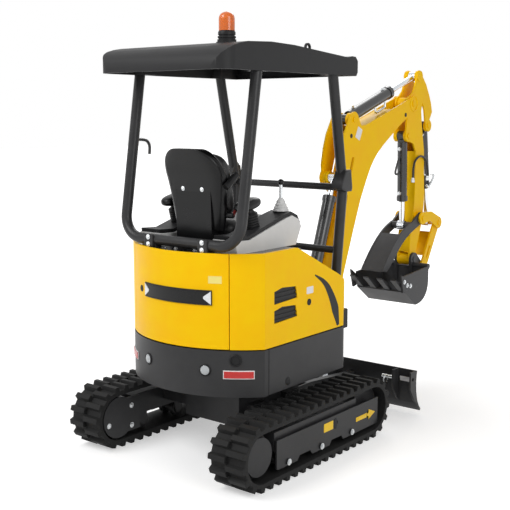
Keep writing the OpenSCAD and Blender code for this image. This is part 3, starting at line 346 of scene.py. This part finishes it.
def bead(path, radius=4.5, pitch=9.0):
    """Weld bead: a thin tube whose radius swells and shrinks once every pitch."""
    path = np.asarray(path, float)
    far = np.concatenate([[0], np.cumsum(np.linalg.norm(np.diff(path, axis=0), axis=1))])
    at = np.linspace(0, far[-1], max(int(far[-1] / pitch * 4), 8))
    line = np.stack([np.interp(at, far, path[:, i]) for i in range(3)], axis=1)
    return tube(line, radius * (1 + 0.14 * np.sin(2 * np.pi * at / pitch)), 7)


def on_plane(at, u, v):
    """Flat place: a along u, b along v, h out along their cross product."""
    at, u, v = np.array(at, float), unit(u), unit(v)
    out = np.cross(u, v)
    return lambda a, b, h: at + a[..., None] * u + b[..., None] * v + h[..., None] * out


def on_tail(angle, z, radius):
    """Round place on the tail: a to the right of an angle left of straight back, b up, h out."""
    def put(a, b, h):
        turn = math.radians(angle) - a / radius
        return np.stack([-(radius + h) * np.cos(turn), (radius + h) * np.sin(turn), z + b], axis=-1)
    return put


def tail_spot(angle, z, radius=TAIL_R - 2):
    """Point on the tail at an angle left of straight back, and the way out from it."""
    out = np.array([-math.cos(math.radians(angle)), math.sin(math.radians(angle)), 0.0])
    return radius * out + (0, 0, z), out


def flat(points, y):
    """Points (x, z) stood up in the plane of that y."""
    points = np.asarray(points, float)
    return np.stack([points[:, 0], np.full(len(points), float(y)), points[:, 1]], axis=1)


def touch(node, start, way):
    """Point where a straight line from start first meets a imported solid."""
    _, place, _, _ = nodes[node].ray_cast(Vector(start) * MM, Vector(way))
    return np.array(place) / MM


def on_right(x, z, y):
    """Flat place on a wall that faces right."""
    return on_plane((x, y, z), (1, 0, 0), (0, 0, 1))


def slab(outline, thick, soft, place):
    """Plate with a closed outline: rings drawn in to its middle, flat below, its upper edge softened."""
    outline = np.array(outline, float)
    middle = outline.mean(0)
    size = np.abs(outline - middle).max()
    ring = np.array([(0, 0), (0.5, 0), (1, 0), (1, thick - soft), (1 - 0.3 * soft / size, thick - 0.3 * soft),
                     (1 - soft / size, thick), (0.75, thick), (0.5, thick), (0.25, thick), (0, thick)])
    drawn = middle + ring[:, None, :1] * (outline - middle)
    height = np.broadcast_to(ring[:, 1:], drawn.shape[:2])
    return grid(place(drawn[..., 0], drawn[..., 1], height), close_v=True)


def ribbon(path, half_width, thick, place):
    """Strip along a flat path, with its own half width at each point, closed at both ends."""
    path = np.asarray(path, float)
    along = unit(np.gradient(path, axis=0))
    side = np.stack([-along[:, 1], along[:, 0]], axis=1) * np.broadcast_to(half_width, len(path))[:, None]
    edge = np.stack([path + side, path + side, path - side, path - side], axis=1)
    edge = np.concatenate([np.repeat(path[:1, None], 4, axis=1), edge, np.repeat(path[-1:, None], 4, axis=1)])
    height = np.broadcast_to(np.array([0.0, thick, thick, 0.0]), edge.shape[:2])
    return grid(place(edge[..., 0], edge[..., 1], height), close_v=True)


def rounded(width, height, radius, steps=6):
    """Outline of a rectangle with round corners."""
    turn = np.linspace(0, np.pi / 2, steps)
    corner = radius * np.stack([np.cos(turn), np.sin(turn)], axis=1)
    w, h = width / 2 - radius, height / 2 - radius
    spin = np.array([[0, -1], [1, 0]])
    quarter = [corner, corner @ spin.T, -corner, corner @ spin]
    return np.concatenate([q + np.array(c) for q, c in zip(quarter, ((w, h), (-w, h), (-w, -h), (w, -h)))])


def signed(value, power):
    """Power that keeps the sign."""
    return np.sign(value) * np.abs(value) ** power


def pillow(centre, half, plan, side, count=40):
    """Rounded block: half (cos^side v cos^plan u, cos^side v sin^plan u, sin^side v), signs kept."""
    u = np.linspace(-np.pi, np.pi, 2 * count, endpoint=False)[None, :]
    v = np.linspace(-np.pi / 2, np.pi / 2, count)[:, None]
    ring = signed(np.cos(v), side)
    points = np.stack([ring * signed(np.cos(u), plan), ring * signed(np.sin(u), plan),
                       signed(np.sin(v), side) * np.ones_like(u)], axis=-1)
    return grid(np.array(centre, float) + points * np.array(half, float), close_v=True)


def lean(shape, about, axis, degrees):
    """The shape turned about an axis through a point."""
    points, quads = shape
    turn = np.array(Matrix.Rotation(math.radians(degrees), 3, Vector(axis)))
    return (points - np.array(about)) @ turn.T + np.array(about), quads


def bolts(places, out, r):
    """Hex bolt of size r on a round washer at each place, facing out."""
    washer = turned([(0, 0), (1.8 * r, 0), (1.8 * r, 0.25 * r), (0, 0.25 * r)], (0, 0, 0), out, 20)
    hexagon = [(0, 0.2 * r), (1.15 * r, 0.2 * r), (1.15 * r, 0.85 * r), (0.9 * r, r), (0, r)]
    head = turned(hexagon, (0, 0, 0), out, 6)
    return repeat(join(washer, head), places)


def new_mesh(name, shape):
    """Mesh in metres with its doubles merged and its faces turned outwards."""
    points, quads = shape
    mesh = bpy.data.meshes.new(name)
    mesh.from_pydata((points * MM).tolist(), [], quads.tolist())
    work = bmesh.new()
    work.from_mesh(mesh)
    bmesh.ops.remove_doubles(work, verts=work.verts, dist=1e-6)
    bmesh.ops.dissolve_degenerate(work, dist=1e-6, edges=work.edges)
    bmesh.ops.recalc_face_normals(work, faces=work.faces)
    work.to_mesh(mesh)
    work.free()
    return mesh


def piece(name, shape, material, body, sharp=35, stands_for=()):
    """New piece: its mesh, finish, the body it rides on and the solids it stands for."""
    mesh = new_mesh(name, shape)
    mesh.polygons.foreach_set("use_smooth", np.ones(len(mesh.polygons), dtype=bool))
    mesh.set_sharp_from_angle(angle=math.radians(sharp))
    mesh.materials.append(material)
    thing = bpy.data.objects.new(name, mesh)
    bpy.context.scene.collection.objects.link(thing)
    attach(thing, body)
    if stands_for:
        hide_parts(*stands_for)
    return thing


# Cloth of the seat pads: size of a cell, pressure inside, frames of the simulation
CELL_MM, PAD_PRESSURE, PAD_STEPS = 6, 4.0, 20


def cushion(name, shape, travel_mm, sewn, stands_for):
    """Seat pad: 6 mm cells, blown up as cloth with each point's travel capped, then sewn and smoothed.

    sewn takes the points [n, 3] in millimetres and gives them back with the sewn channels drawn in.
    """
    mesh = new_mesh(name, shape)
    mesh.materials.append(seat_vinyl)
    thing = bpy.data.objects.new(name, mesh)
    bpy.context.scene.collection.objects.link(thing)
    cells = thing.modifiers.new("even_cells", "REMESH")
    cells.mode = "VOXEL"
    cells.voxel_size = CELL_MM * MM
    thing.data = bpy.data.meshes.new_from_object(thing.evaluated_get(bpy.context.evaluated_depsgraph_get()))
    thing.modifiers.clear()
    count = len(thing.data.vertices)
    start, moved = np.empty(3 * count), np.empty(3 * count)
    thing.data.vertices.foreach_get("co", start)
    moved[:] = start
    cloth = thing.modifiers.new("cloth", "CLOTH")
    cloth.settings.use_pressure = True
    cloth.settings.uniform_pressure_force = PAD_PRESSURE
    cloth.settings.effector_weights.gravity = 0.0
    for step in range(1, PAD_STEPS + 1):
        bpy.context.scene.frame_set(step)
    blown = thing.evaluated_get(bpy.context.evaluated_depsgraph_get())
    blown.data.vertices.foreach_get("co", moved)
    thing.modifiers.clear()
    bpy.context.scene.frame_set(1)
    travel = (moved - start).reshape(-1, 3)
    far = np.maximum(np.linalg.norm(travel, axis=1, keepdims=True), 1e-9)
    points = start.reshape(-1, 3) + travel * np.minimum(1.0, travel_mm * MM / far)
    thing.data.vertices.foreach_set("co", (sewn(points / MM) * MM).ravel())
    thing.data.polygons.foreach_set("use_smooth", np.ones(len(thing.data.polygons), dtype=bool))
    finer = thing.modifiers.new("finer", "SUBSURF")
    finer.levels = finer.render_levels = 1
    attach(thing, "house")
    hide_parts(*stands_for)
    return thing


make_camera()

# The hose that arches from the arm to the bucket cylinder, and its two couplings
hose_line = flat(smooth([(1902, 1465), (1906, 1539), (1936, 1596), (2015, 1622), (2088, 1591), (2121, 1514),
                         (2126, 1469)], 12), -64)
arm_hose = piece("arm_hose", tube(hose_line, 8, 16), hose_rubber, "arm")
hex_nut = [(0, 0), (13, 0), (13, 20), (10, 22), (10, 34), (0, 34)]
hose_ends = piece("hose_couplings", join(turned(hex_nut, (1899, -64, 1433), (0.06, 0, 1), 6),
                                         turned(hex_nut, (2128, -64, 1437), (-0.06, 0, 1), 6)),
                  zinc_plate, "arm", sharp=25)

dress_solids()

# Places shared by several pieces, in millimetres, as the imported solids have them
RIGHT_WALL = -490.0
GUARD_WALL = -628.0
BOOM_WALL = -75.0
BUCKET_WALL = -200.0
UP, RIGHT, LEFT, BACK = (0, 0, 1), (0, -1, 0), (0, 1, 0), (-1, 0, 0)


def level_line(half_length, count):
    """Points of a level line, half its length to each side of nought."""
    along = np.linspace(-half_length, half_length, count)
    return np.stack([along, 0 * along], axis=1)


# Tail: blank badge with bright ends
badge = on_tail(-3.5, 970, TAIL_R - 0.5)
badge_line = level_line(237, 49)
tip = np.linspace(0, 1, 7)
left_end = ribbon(np.stack([-233 + 42 * tip, 0 * tip], 1), 36 * (1 - 0.85 * tip), 9, badge)
right_end = ribbon(np.stack([191 + 42 * tip, 0 * tip], 1), 36 * (0.15 + 0.85 * tip), 9, badge)
piece("badge_frame", ribbon(badge_line, 40, 6, badge), black_plastic, "rear_hood")
piece("badge_face", ribbon(badge_line[3:-3], 31, 7.5, badge), shell_plastic, "rear_hood")
piece("badge_ends", join(left_end, right_end), brushed_aluminium, "rear_hood")

# Tail: lock and blank label on the hood
lock = [(0, 0), (19, 0), (19, 3), (16, 5), (12, 5), (12, 4), (3, 4), (3, 3), (0, 3)]
label_place = on_tail(-26.2, 1067, TAIL_R - 0.2)
piece("hood_lock", turned(lock, *tail_spot(22.5, 965)), black_plastic, "rear_hood")
piece("hood_label", ribbon(level_line(37, 9), 20, 1.2, label_place), yellow_film, "rear_hood")

# Tail: reflectors with white edges, lamps in bezels, and the cup on the wall of the tail weight
reflector_line = level_line(84, 17)
reflector_places = [on_tail(angle, 556, TAIL_R - 1) for angle in (-37.5, 37.5)]
edge_strips = [ribbon(reflector_line, 23, 5, place) for place in reflector_places]
red_strips = [ribbon(reflector_line * 0.94, 18, 8, place) for place in reflector_places]
piece("reflector_edges", join(*edge_strips), white_film, "house")
piece("reflectors", join(*red_strips), red_acrylic, "house")
bezel = [(0, -8), (34, -8), (34, 5), (31, 8), (27, 8), (26, 4), (0, 4)]
dome = [(0, 2), (26, 2), (26, 6), (22, 9), (14, 10.2), (6, 10.5), (0, 10.5)]
cup = [(0, 0), (34, 0), (34, 6), (31, 9), (26, 9), (23, 3), (0, 3)]
lamp_spots = [tail_spot(16, 575), tail_spot(-21, 575)]
bezels = [turned(bezel, *spot) for spot in lamp_spots]
lenses = [turned(dome, *spot) for spot in lamp_spots]
piece("lamp_bezels", join(*bezels), black_plastic, "house")
piece("lamp_lenses", join(*lenses), clear_plastic, "house", stands_for=["lamps"])
piece("exhaust_cup", turned(cup, *tail_spot(-36, 634)), black_plastic, "house")

# Right side: blank plate, lock and black sweep on the cover, plug in the skirt, box at the front corner
film = on_right(0, 0, RIGHT_WALL + 0.2)
sweep = smooth([(46, 1033), (130, 985), (188, 926), (246, 826), (287, 702)], 12)
sweep_width = np.interp(np.linspace(0, 1, len(sweep)), [0, 0.45, 0.8, 1], [4, 22, 34, 12])
plug = [(0, 0), (24, 0), (24, 2), (20, 4), (12, 4.6), (0, 5)]
piece("cover_plate", slab(rounded(64, 40, 4) + (-2, 954), 1.2, 0.4, film), white_film, "right_cover")
piece("cover_lock", turned(lock, (-10, RIGHT_WALL + 1, 887), RIGHT), black_plastic, "right_cover")
piece("cover_sweep", ribbon(sweep, sweep_width, 1.0, film), black_plastic, "right_cover")
piece("skirt_plug", turned(plug, (-204, RIGHT_WALL + 1, 473), RIGHT), black_plastic, "house")
box_body = slab(rounded(62, 81, 8), 56, 4, on_right(364, 745, -432))
box_lip = slab(rounded(62, 40, 6), 26, 3, on_right(364, 690, -462))
piece("corner_box", join(box_body, box_lip), black_plastic, "house")

# Seat: polished shell, upright rings of x = spine + 30 sin^0.6 + 22 cos^6 and y = half width cos^0.45
spine = smooth([(-368, 1300), (-384, 1440), (-396, 1524), (-413, 1604), (-450, 1690), (-472, 1746)], 12)
height = 1300 + 445 * np.sin(np.linspace(0, np.pi / 2, 60))
middle = np.interp(height, spine[:, 1], spine[:, 0]) - 8
corner = np.clip((height - 1595) / 150, 0, 1)
half_width = np.interp(height, [1300, 1600, 1745], [168, 212, 212]) - 130 * (1 - np.sqrt(1 - corner ** 2))
around = np.linspace(0, 2 * np.pi, 48, endpoint=False)
depth = 30 * signed(np.sin(around), 0.6) + 22 * np.abs(np.cos(around)) ** 6
shell_x = middle[:, None] + depth
shell_y = half_width[:, None] * signed(np.cos(around), 0.45)
shell = np.stack(np.broadcast_arrays(shell_x, shell_y, height[:, None]), axis=-1)
ends = np.repeat(shell[[0, -1]].mean(axis=1, keepdims=True), len(around), axis=1)
piece("seat_shell", grid(np.concatenate([ends[:1], shell, ends[1:]]), close_v=True), shell_plastic, "house",
      sharp=60)
piece("shell_bolts", bolts([(-433, -70, 1524), (-433, 70, 1524)], (-1, 0, -0.1), 7), zinc_plate, "house",
      sharp=25)

# Seat: two padded cushions with sewn channels
BACK_MIDDLE = (-344, 0, 1535)
SEAT_MIDDLE = (-99, 0, 1288)
BACK_LEAN = -10.8


def channel(distance):
    """Depth of a sewn channel, exp(-(d / 9)^2): 1 in its middle, and 15 mm wide at half depth."""
    return np.exp(-(distance / 9) ** 2)


def sewn_back(points):
    """Two upright channels and one level one, 7 mm deep, in the front of the back pad."""
    x, y, z = points.T
    front = x > BACK_MIDDLE[0] - 4 - 0.19 * (z - BACK_MIDDLE[2])
    dip = np.maximum(channel(np.abs(y) - 92) * (z < 1640), channel(z - 1640) * (np.abs(y) < 170))
    return points - np.stack([7 * dip * front, 0 * y, 0 * z], axis=-1)


def sewn_seat(points):
    """Two channels along the seat and one across, 6 mm deep, in the top of the seat pad."""
    x, y, z = points.T
    dip = np.maximum(channel(np.abs(y) - 80) * (x < 50), channel(x - 50))
    return points - np.stack([0 * x, 0 * y, 6 * dip * (z > 1300)], axis=-1)


back_block = lean(pillow(BACK_MIDDLE, (36, 212, 196), 0.5, 0.55), BACK_MIDDLE, LEFT, BACK_LEAN)
cushion("back_pad", back_block, 12, sewn_back, ["seat_back"])
cushion("seat_pad", pillow(SEAT_MIDDLE, (224, 180, 56), 0.35, 0.5), 10, sewn_seat, ["seat_cushion"])
turn = np.linspace(0, 2 * np.pi, 97)
piping = np.stack([226 * signed(np.cos(turn), 0.35), 182 * signed(np.sin(turn), 0.35), 0 * turn], axis=1)
piece("seat_piping", tube(piping + SEAT_MIDDLE, 4.5, 8), black_plastic, "house")

# Seat: armrest stub and the red tilt lever on its pivot
armrest = smooth([(-408, -218, 1540), (-388, -222, 1556), (-350, -222, 1585), (-321, -222, 1605)], 6)
tilt_lever = smooth([(-348, -216, 1383), (-326, -216, 1406), (-303, -218, 1430), (-292, -219, 1442)], 6)
pivot = [(0, 0), (15, 0), (15, 60), (11, 66), (0, 66)]
piece("armrest_stub", tube(armrest, 19, 18), black_plastic, "house")
piece("lever_pivot", turned(pivot, (-348, -158, 1383), RIGHT), black_plastic, "house")
piece("tilt_lever", tube(tilt_lever, 9, 14), red_grip, "house")

# Controls: ribbed joystick towers with mushroom grips
STICK_FOOT = np.array((-255, -275, 1316))
STICK_AXIS = np.array((-0.271, 0, 0.962))
rib_heights = (np.arange(0, 84, 14)[:, None] + [0, 8, 9, 13]).ravel()
ribs = np.stack([np.tile([45, 45, 38, 38], 6), rib_heights], 1)
tower = np.concatenate([[(0, 0)], ribs, [(30, 88), (24, 100), (22, 128), (0, 128)]])
grip = lean(pillow((0, 0, 0), (88, 50, 30), 0.75, 0.75), (0, 0, 0), LEFT, -12)
towers = both_hands(turned(tower, STICK_FOOT, STICK_AXIS))
grips = both_hands(repeat(grip, [STICK_FOOT + 132 * STICK_AXIS]))
piece("joystick_towers", towers, black_plastic, "house", stands_for=["joysticks"])
piece("joystick_grips", grips, shell_plastic, "house", sharp=60)

# Controls: levers with ball knobs in soft gaiters
gaiter = [(0, 0), (46, 0), (46, 6), (39, 14), (41, 20), (32, 30), (34, 36), (25, 46), (27, 52), (17, 66),
          (12, 74), (0, 74)]
rod = [(0, 0), (10, 0), (10, 110), (0, 110)]
half_turn = np.linspace(-np.pi / 2, np.pi / 2, 15)
ball = np.stack([18 * np.cos(half_turn), 18 * np.sin(half_turn)], 1)
gaiters = both_hands(turned(gaiter, (8, -275, 1386)))
rods = both_hands(turned(rod, (8, -275, 1430), UP, 16))
balls = both_hands(turned(ball, (8, -275, 1549), UP, 24))
piece("lever_gaiters", gaiters, pale_plastic, "house", sharp=60)
piece("lever_rods", rods, zinc_plate, "house")
piece("lever_balls", balls, shell_plastic, "house", sharp=80)

# Canopy: knee blocks, hoop clamps with bolts, hand holds
knee = [(405, 1478), (462, 1478), (468, 1500), (452, 1606), (396, 1606), (352, 1530), (352, 1496)]
clamp = slab(rounded(66, 74, 8), 12, 3, on_plane((-570, -199, 1238), RIGHT, UP))
clamp_bolts = bolts([(-582, -199, 1258), (-582, -199, 1218)], BACK, 8)
rear_hold = flat([(-452, 1786), (-394, 1785), (-354, 1776), (-334, 1747), (-335, 1700)], 425)
front_hold = flat([(400, 1640), (450, 1622), (474, 1590), (474, 1535), (432, 1508)], 422)
piece("knee_blocks", both_hands(slab(knee, 72, 6, on_right(0, 0, -389))), grey_enamel, "house")
piece("hoop_clamps", both_hands(clamp), grey_enamel, "house")
piece("clamp_bolts", both_hands(clamp_bolts), zinc_plate, "house", sharp=25)
piece("rear_hand_hold", tube(smooth(rear_hold), 9), black_enamel, "house")
piece("front_hand_hold", tube(smooth(front_hold), 9), black_enamel, "house")

# Canopy: bolts sunk half a millimetre into the roof, and the grooved beacon base
bolt_plan = [(-372, 300), (-372, 60), (-372, -60), (-372, -320), (-182, -328), (-182, 328), (120, 328),
             (120, -328)]
roof_spots = [touch("roof", (x, y, 4000), (0, 0, -1)) - (0, 0, 0.5) for x, y in bolt_plan]
piece("roof_bolts", bolts(roof_spots, UP, 7), zinc_plate, "house", sharp=25)
low, high = (np.array(corner_point) / MM for corner_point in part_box("beacon_base"))
foot = np.array(((low[0] + high[0]) / 2, (low[1] + high[1]) / 2, low[2]))
grooves = [(0, 0), (1, 0), (1, 0.22), (0.88, 0.25), (0.88, 0.33), (0.96, 0.36), (0.96, 0.5), (0.84, 0.53),
           (0.84, 0.61), (0.92, 0.64), (0.92, 0.86), (0.82, 1), (0, 1)]
grooves = np.array(grooves) * ((high[0] - low[0]) / 2, high[2] - low[2])
piece("beacon_foot", turned(grooves, foot, UP, 40), black_plastic, "house",
      stands_for=["beacon_base"])

# Deck and floor: bolts behind the seat, and a rubber mat with a rib every 20 mm
DECK_TOP = 1193.5
deck_bolts = [(-500, 150, DECK_TOP), (-502, 64, DECK_TOP), (-491, -68, DECK_TOP), (-493, -150, DECK_TOP)]
piece("deck_bolts", bolts(deck_bolts, UP, 9), zinc_plate, "house", sharp=25)
mat_x, mat_y = np.meshgrid(np.linspace(-30, 350, 191), np.linspace(-290, 290, 3), indexing="ij")
mat_top = np.stack([mat_x, mat_y, 708 + 3 * np.clip(2 * np.sin(2 * np.pi * mat_x / 20), -1, 1)], axis=-1)
mat_base = np.stack([mat_x, mat_y, 0 * mat_x + 704.5], axis=-1)
piece("floor_mat", grid(np.concatenate([mat_top, mat_base[::-1]]), close_u=True), track_rubber, "house")

# Boom: blank plate, hole plugs, weld beads round the bosses


def bead_ring(x, z, y, radius):
    """Ring of swelling bead on a side wall, as a weld round a pin boss."""
    angle = np.linspace(0, 2 * np.pi, 73)
    return bead(np.stack([x + radius * np.cos(angle), 0 * angle + y, z + radius * np.sin(angle)], 1))


plate_place = on_plane((1134, BOOM_WALL + 0.2, 1803), (35, 0, 72), (-72, 0, 35))
small_plug = turned([(0, 0), (15, 0), (15, 1.5), (11, 3), (0, 3.4)], (0, BOOM_WALL + 0.4, 0), RIGHT, 24)
plug_places = [(1043, 0, 1788), (1753, 0, 1926), (1013, 0, 1548)]
boss_beads = join(bead_ring(1869.2, 2005.3, BOOM_WALL, 52), bead_ring(950.4, 1514.7, BOOM_WALL, 52))
piece("boom_plate", slab(rounded(80, 58, 5), 1.4, 0.4, plate_place), white_film, "boom")
piece("boom_plugs", both_hands(repeat(small_plug, plug_places)), black_plastic, "boom")
piece("boom_welds", both_hands(boss_beads), yellow_enamel, "boom", sharp=80)

# Cylinders: gland rings at the rod ends and pressed ports


def cylinder_ends(name, start, end, radius, out):
    """Gland ring where the rod leaves the barrel, and two ports with hex unions on one side of the barrel."""
    barrel = nodes[name].data.vertices
    points = np.empty(3 * len(barrel))
    barrel.foreach_get("co", points)
    start, end = flat([start, end], 0)
    along = unit(end - start)
    reach = ((points.reshape(-1, 3) / MM - start) @ along).max()
    gland = [(21, -16), (radius + 5, -16), (radius + 5, -9), (radius + 3, -8), (radius + 3, -1), (radius, 3),
             (27, 4), (25, 7), (21, 7)]
    port = turned([(0, 0), (15, 0), (15, 14), (11, 15), (11, 27), (0, 27)], (0, 0, 0), out, 6)
    places = [start + share * reach * along + (radius - 6) * unit(out) for share in (0.2, 0.88)]
    piece(name + "_gland", turned(gland, start + reach * along, along, 40), black_enamel, name)
    piece(name + "_ports", repeat(port, places), zinc_plate, name, sharp=25)


BUCKET_PIN = np.array((2139.5, 1845.5))
cylinder_ends("boom_barrel", (675, 735), (950.4, 1514.7), 42, (0.943, 0, -0.333))
cylinder_ends("arm_barrel", (1079.8, 1895.3), (1984.2, 2205.7), 42, (-0.325, 0, 0.946))
cylinder_ends("bucket_barrel", BUCKET_PIN, (2244.1, 1108.4), 36, (0.99, 0, 0.14))
cylinder_ends("thumb_barrel", (1844.2, 1775.4), (1866.1, 1113.4), 36, (-1, 0, -0.03))

# Cylinders: bright pipes and couplings beside the barrels, and a black loop on the thumb's
arm_pipe = flat([(1424, 1992), (1432, 1952), (1452, 1943), (1538, 1974), (1556, 1984), (1556, 2030)], -18)
bucket_frame = np.array([(0.1405, -0.99), (0.99, 0.1405)])
bucket_run = np.array([(60, -32), (70, -50), (95, -54), (330, -54), (360, -50), (372, -32)])
bucket_pipe = flat(BUCKET_PIN + bucket_run @ bucket_frame, -22)
coupling = [(2150, -40, 1400), (2158, -56, 1386), (2209, -58, 1433), (2252, -46, 1470), (2238, -26, 1478)]
thumb_loop = flat([(1822, 1632), (1790, 1590), (1754, 1516), (1772, 1496), (1830, 1514)], 0)
piece("arm_cylinder_pipe", tube(smooth(arm_pipe, 8), 8), zinc_plate, "arm_barrel")
piece("bucket_cylinder_pipe", tube(smooth(bucket_pipe, 8), 7), zinc_plate, "bucket_barrel")
piece("bucket_couplings", tube(smooth(coupling, 8), 9), zinc_plate, "bucket_barrel")
piece("thumb_cylinder_loop", tube(smooth(thumb_loop), 8), black_enamel, "thumb_barrel")

# Bucket: bolted side cutters
cutter = [(1497, 809), (1550, 774), (1614, 735), (1673, 712), (1604, 693), (1532, 674), (1512, 745)]
cutter_plate = slab(cutter, 16, 3, on_right(0, 0, BUCKET_WALL + 0.5))
cutter_bolts = bolts(flat([(1545, 752), (1585, 722), (1632, 712)], BUCKET_WALL - 15), RIGHT, 9)
piece("side_cutters", both_hands(cutter_plate), digging_steel, "bucket")
piece("cutter_bolts", both_hands(cutter_bolts), zinc_plate, "bucket", sharp=25)

# Tracks: plain yellow marks, a black oval of painted shade for a slot's dark inside, and bright bolts on the
# guards and on the motor covers
guard = on_right(0, 0, GUARD_WALL + 0.2)
arrow = [(282, 139), (282, 165), (420, 165), (420, 183), (492, 152), (420, 121), (420, 139)]
marks = join(slab(rounded(92, 50, 4) + (-4, 187), 1.2, 0.4, guard), slab(arrow, 1.2, 0.4, guard))
# Black oval film on the guard wall: painted shade standing for the shaded inside of a slot
painted_slot_shade = slab(rounded(30, 66, 14) + (66, 187), 1.4, 0.5, guard)
guard_bolts = bolts(flat([(-384, 94), (-76, 94), (232, 94)], GUARD_WALL - 7), RIGHT, 10)
cover_bolts = bolts(flat([(-520, 232), (-700, 150), (-520, 112)], -424.5), LEFT, 9)
track_pieces = (("marks", marks, mark_film, "yellow_paint", 35),
                ("slot", painted_slot_shade, black_plastic, "black_plastic", 35),
                ("bolts", join(guard_bolts, cover_bolts), zinc_plate, "chrome_rod", 25))
for side, hand in (("left", -1), ("right", 1)):
    for name, (points, quads), finish, slot, sharp in track_pieces:
        piece(f"{side}_track_{name}", (points * (1, hand, 1), quads), finish, f"{side}_track", sharp)

# Blade: blank plate at its right end, lock pin with its ring
behind = touch("blade", (600, -582, 235), (1, 0, 0))
blade_plate = slab(rounded(84, 52, 4), 1.4, 0.4, on_plane(behind, RIGHT, (-0.207, 0, 0.978)))
lock_pin = turned([(0, 0), (11, 0), (11, 86), (7, 90), (0, 90)], (912, -512, 250), LEFT, 20)
piece("blade_plate", blade_plate, white_film, "blade")
piece("blade_pin", join(lock_pin, bead_ring(912, 226, -452, 24)), zinc_plate, "blade")

# Floor, backdrop and light

def seen_straight(tree):
    """One for rays from the camera, a mirror or through clear plastic, and nought for those that light."""
    path = add(tree, "ShaderNodeLightPath").outputs
    mirror = add(tree, "ShaderNodeMath", {0: path["Is Camera Ray"], 1: path["Is Glossy Ray"]},
                 operation="MAXIMUM")
    return add(tree, "ShaderNodeMath", {0: mirror.outputs["Value"], 1: path["Is Transmission Ray"]},
               operation="MAXIMUM").outputs["Value"]


world = bpy.data.worlds.new("studio")
bpy.context.scene.world = world
world.use_nodes = True
tree = world.node_tree
sky = tree.nodes["Background"]
level = add(tree, "ShaderNodeMapRange", {"Value": seen_straight(tree)},
            {"To Min": 0.4, "To Max": 1.0}).outputs["Result"]
tree.links.new(level, sky.inputs["Strength"])
sky.inputs["Color"].default_value = (1.0, 1.0, 1.0, 1.0)

floor_mesh = bpy.data.meshes.new("floor")
reach = 40.0
floor_mesh.from_pydata([(-reach, -reach, 0), (reach, -reach, 0), (reach, reach, 0), (-reach, reach, 0)], [],
                       [(0, 1, 2, 3)])
floor = bpy.data.objects.new("floor", floor_mesh)
bpy.context.scene.collection.objects.link(floor)
# White painted studio floor: diffuse, and lifted to white away from the object where the camera sees it
white_floor = bpy.data.materials.new("white_studio_floor")
white_floor.use_nodes = True
tree = white_floor.node_tree
body = tree.nodes["Principled BSDF"]
body.inputs["Base Color"].default_value = grey(0.8)
body.inputs["Roughness"].default_value = 0.9
place = add(tree, "ShaderNodeTexCoord").outputs["Object"]
away = add(tree, "ShaderNodeVectorMath", {0: place}, operation="LENGTH").outputs["Value"]
fade = add(tree, "ShaderNodeMapRange", {"Value": away},
           {"From Min": 1.5, "From Max": 6.0, "To Min": 0.45, "To Max": 1.0}).outputs["Result"]
lift = add(tree, "ShaderNodeMath", {0: fade, 1: seen_straight(tree)}, operation="MULTIPLY").outputs["Value"]
glow = add(tree, "ShaderNodeEmission", {"Strength": lift}, {"Color": grey(1.0)})
both = add(tree, "ShaderNodeAddShader", {0: body.outputs["BSDF"], 1: glow.outputs["Emission"]})
tree.links.new(both.outputs["Shader"], tree.nodes["Material Output"].inputs["Surface"])
floor_mesh.materials.append(white_floor)

lamp("key", (-5.5, 2.5, 6.5), (0.3, 0, 1.0), 4.0, 330)
lamp("fill", (-2.0, -7.0, 4.0), (0.3, 0, 1.0), 4.0, 185)
lamp("rim", (5.5, 2.5, 6.0), (1.0, 0, 1.2), 3.0, 100)

bpy.context.scene.view_settings.view_transform = "Standard"
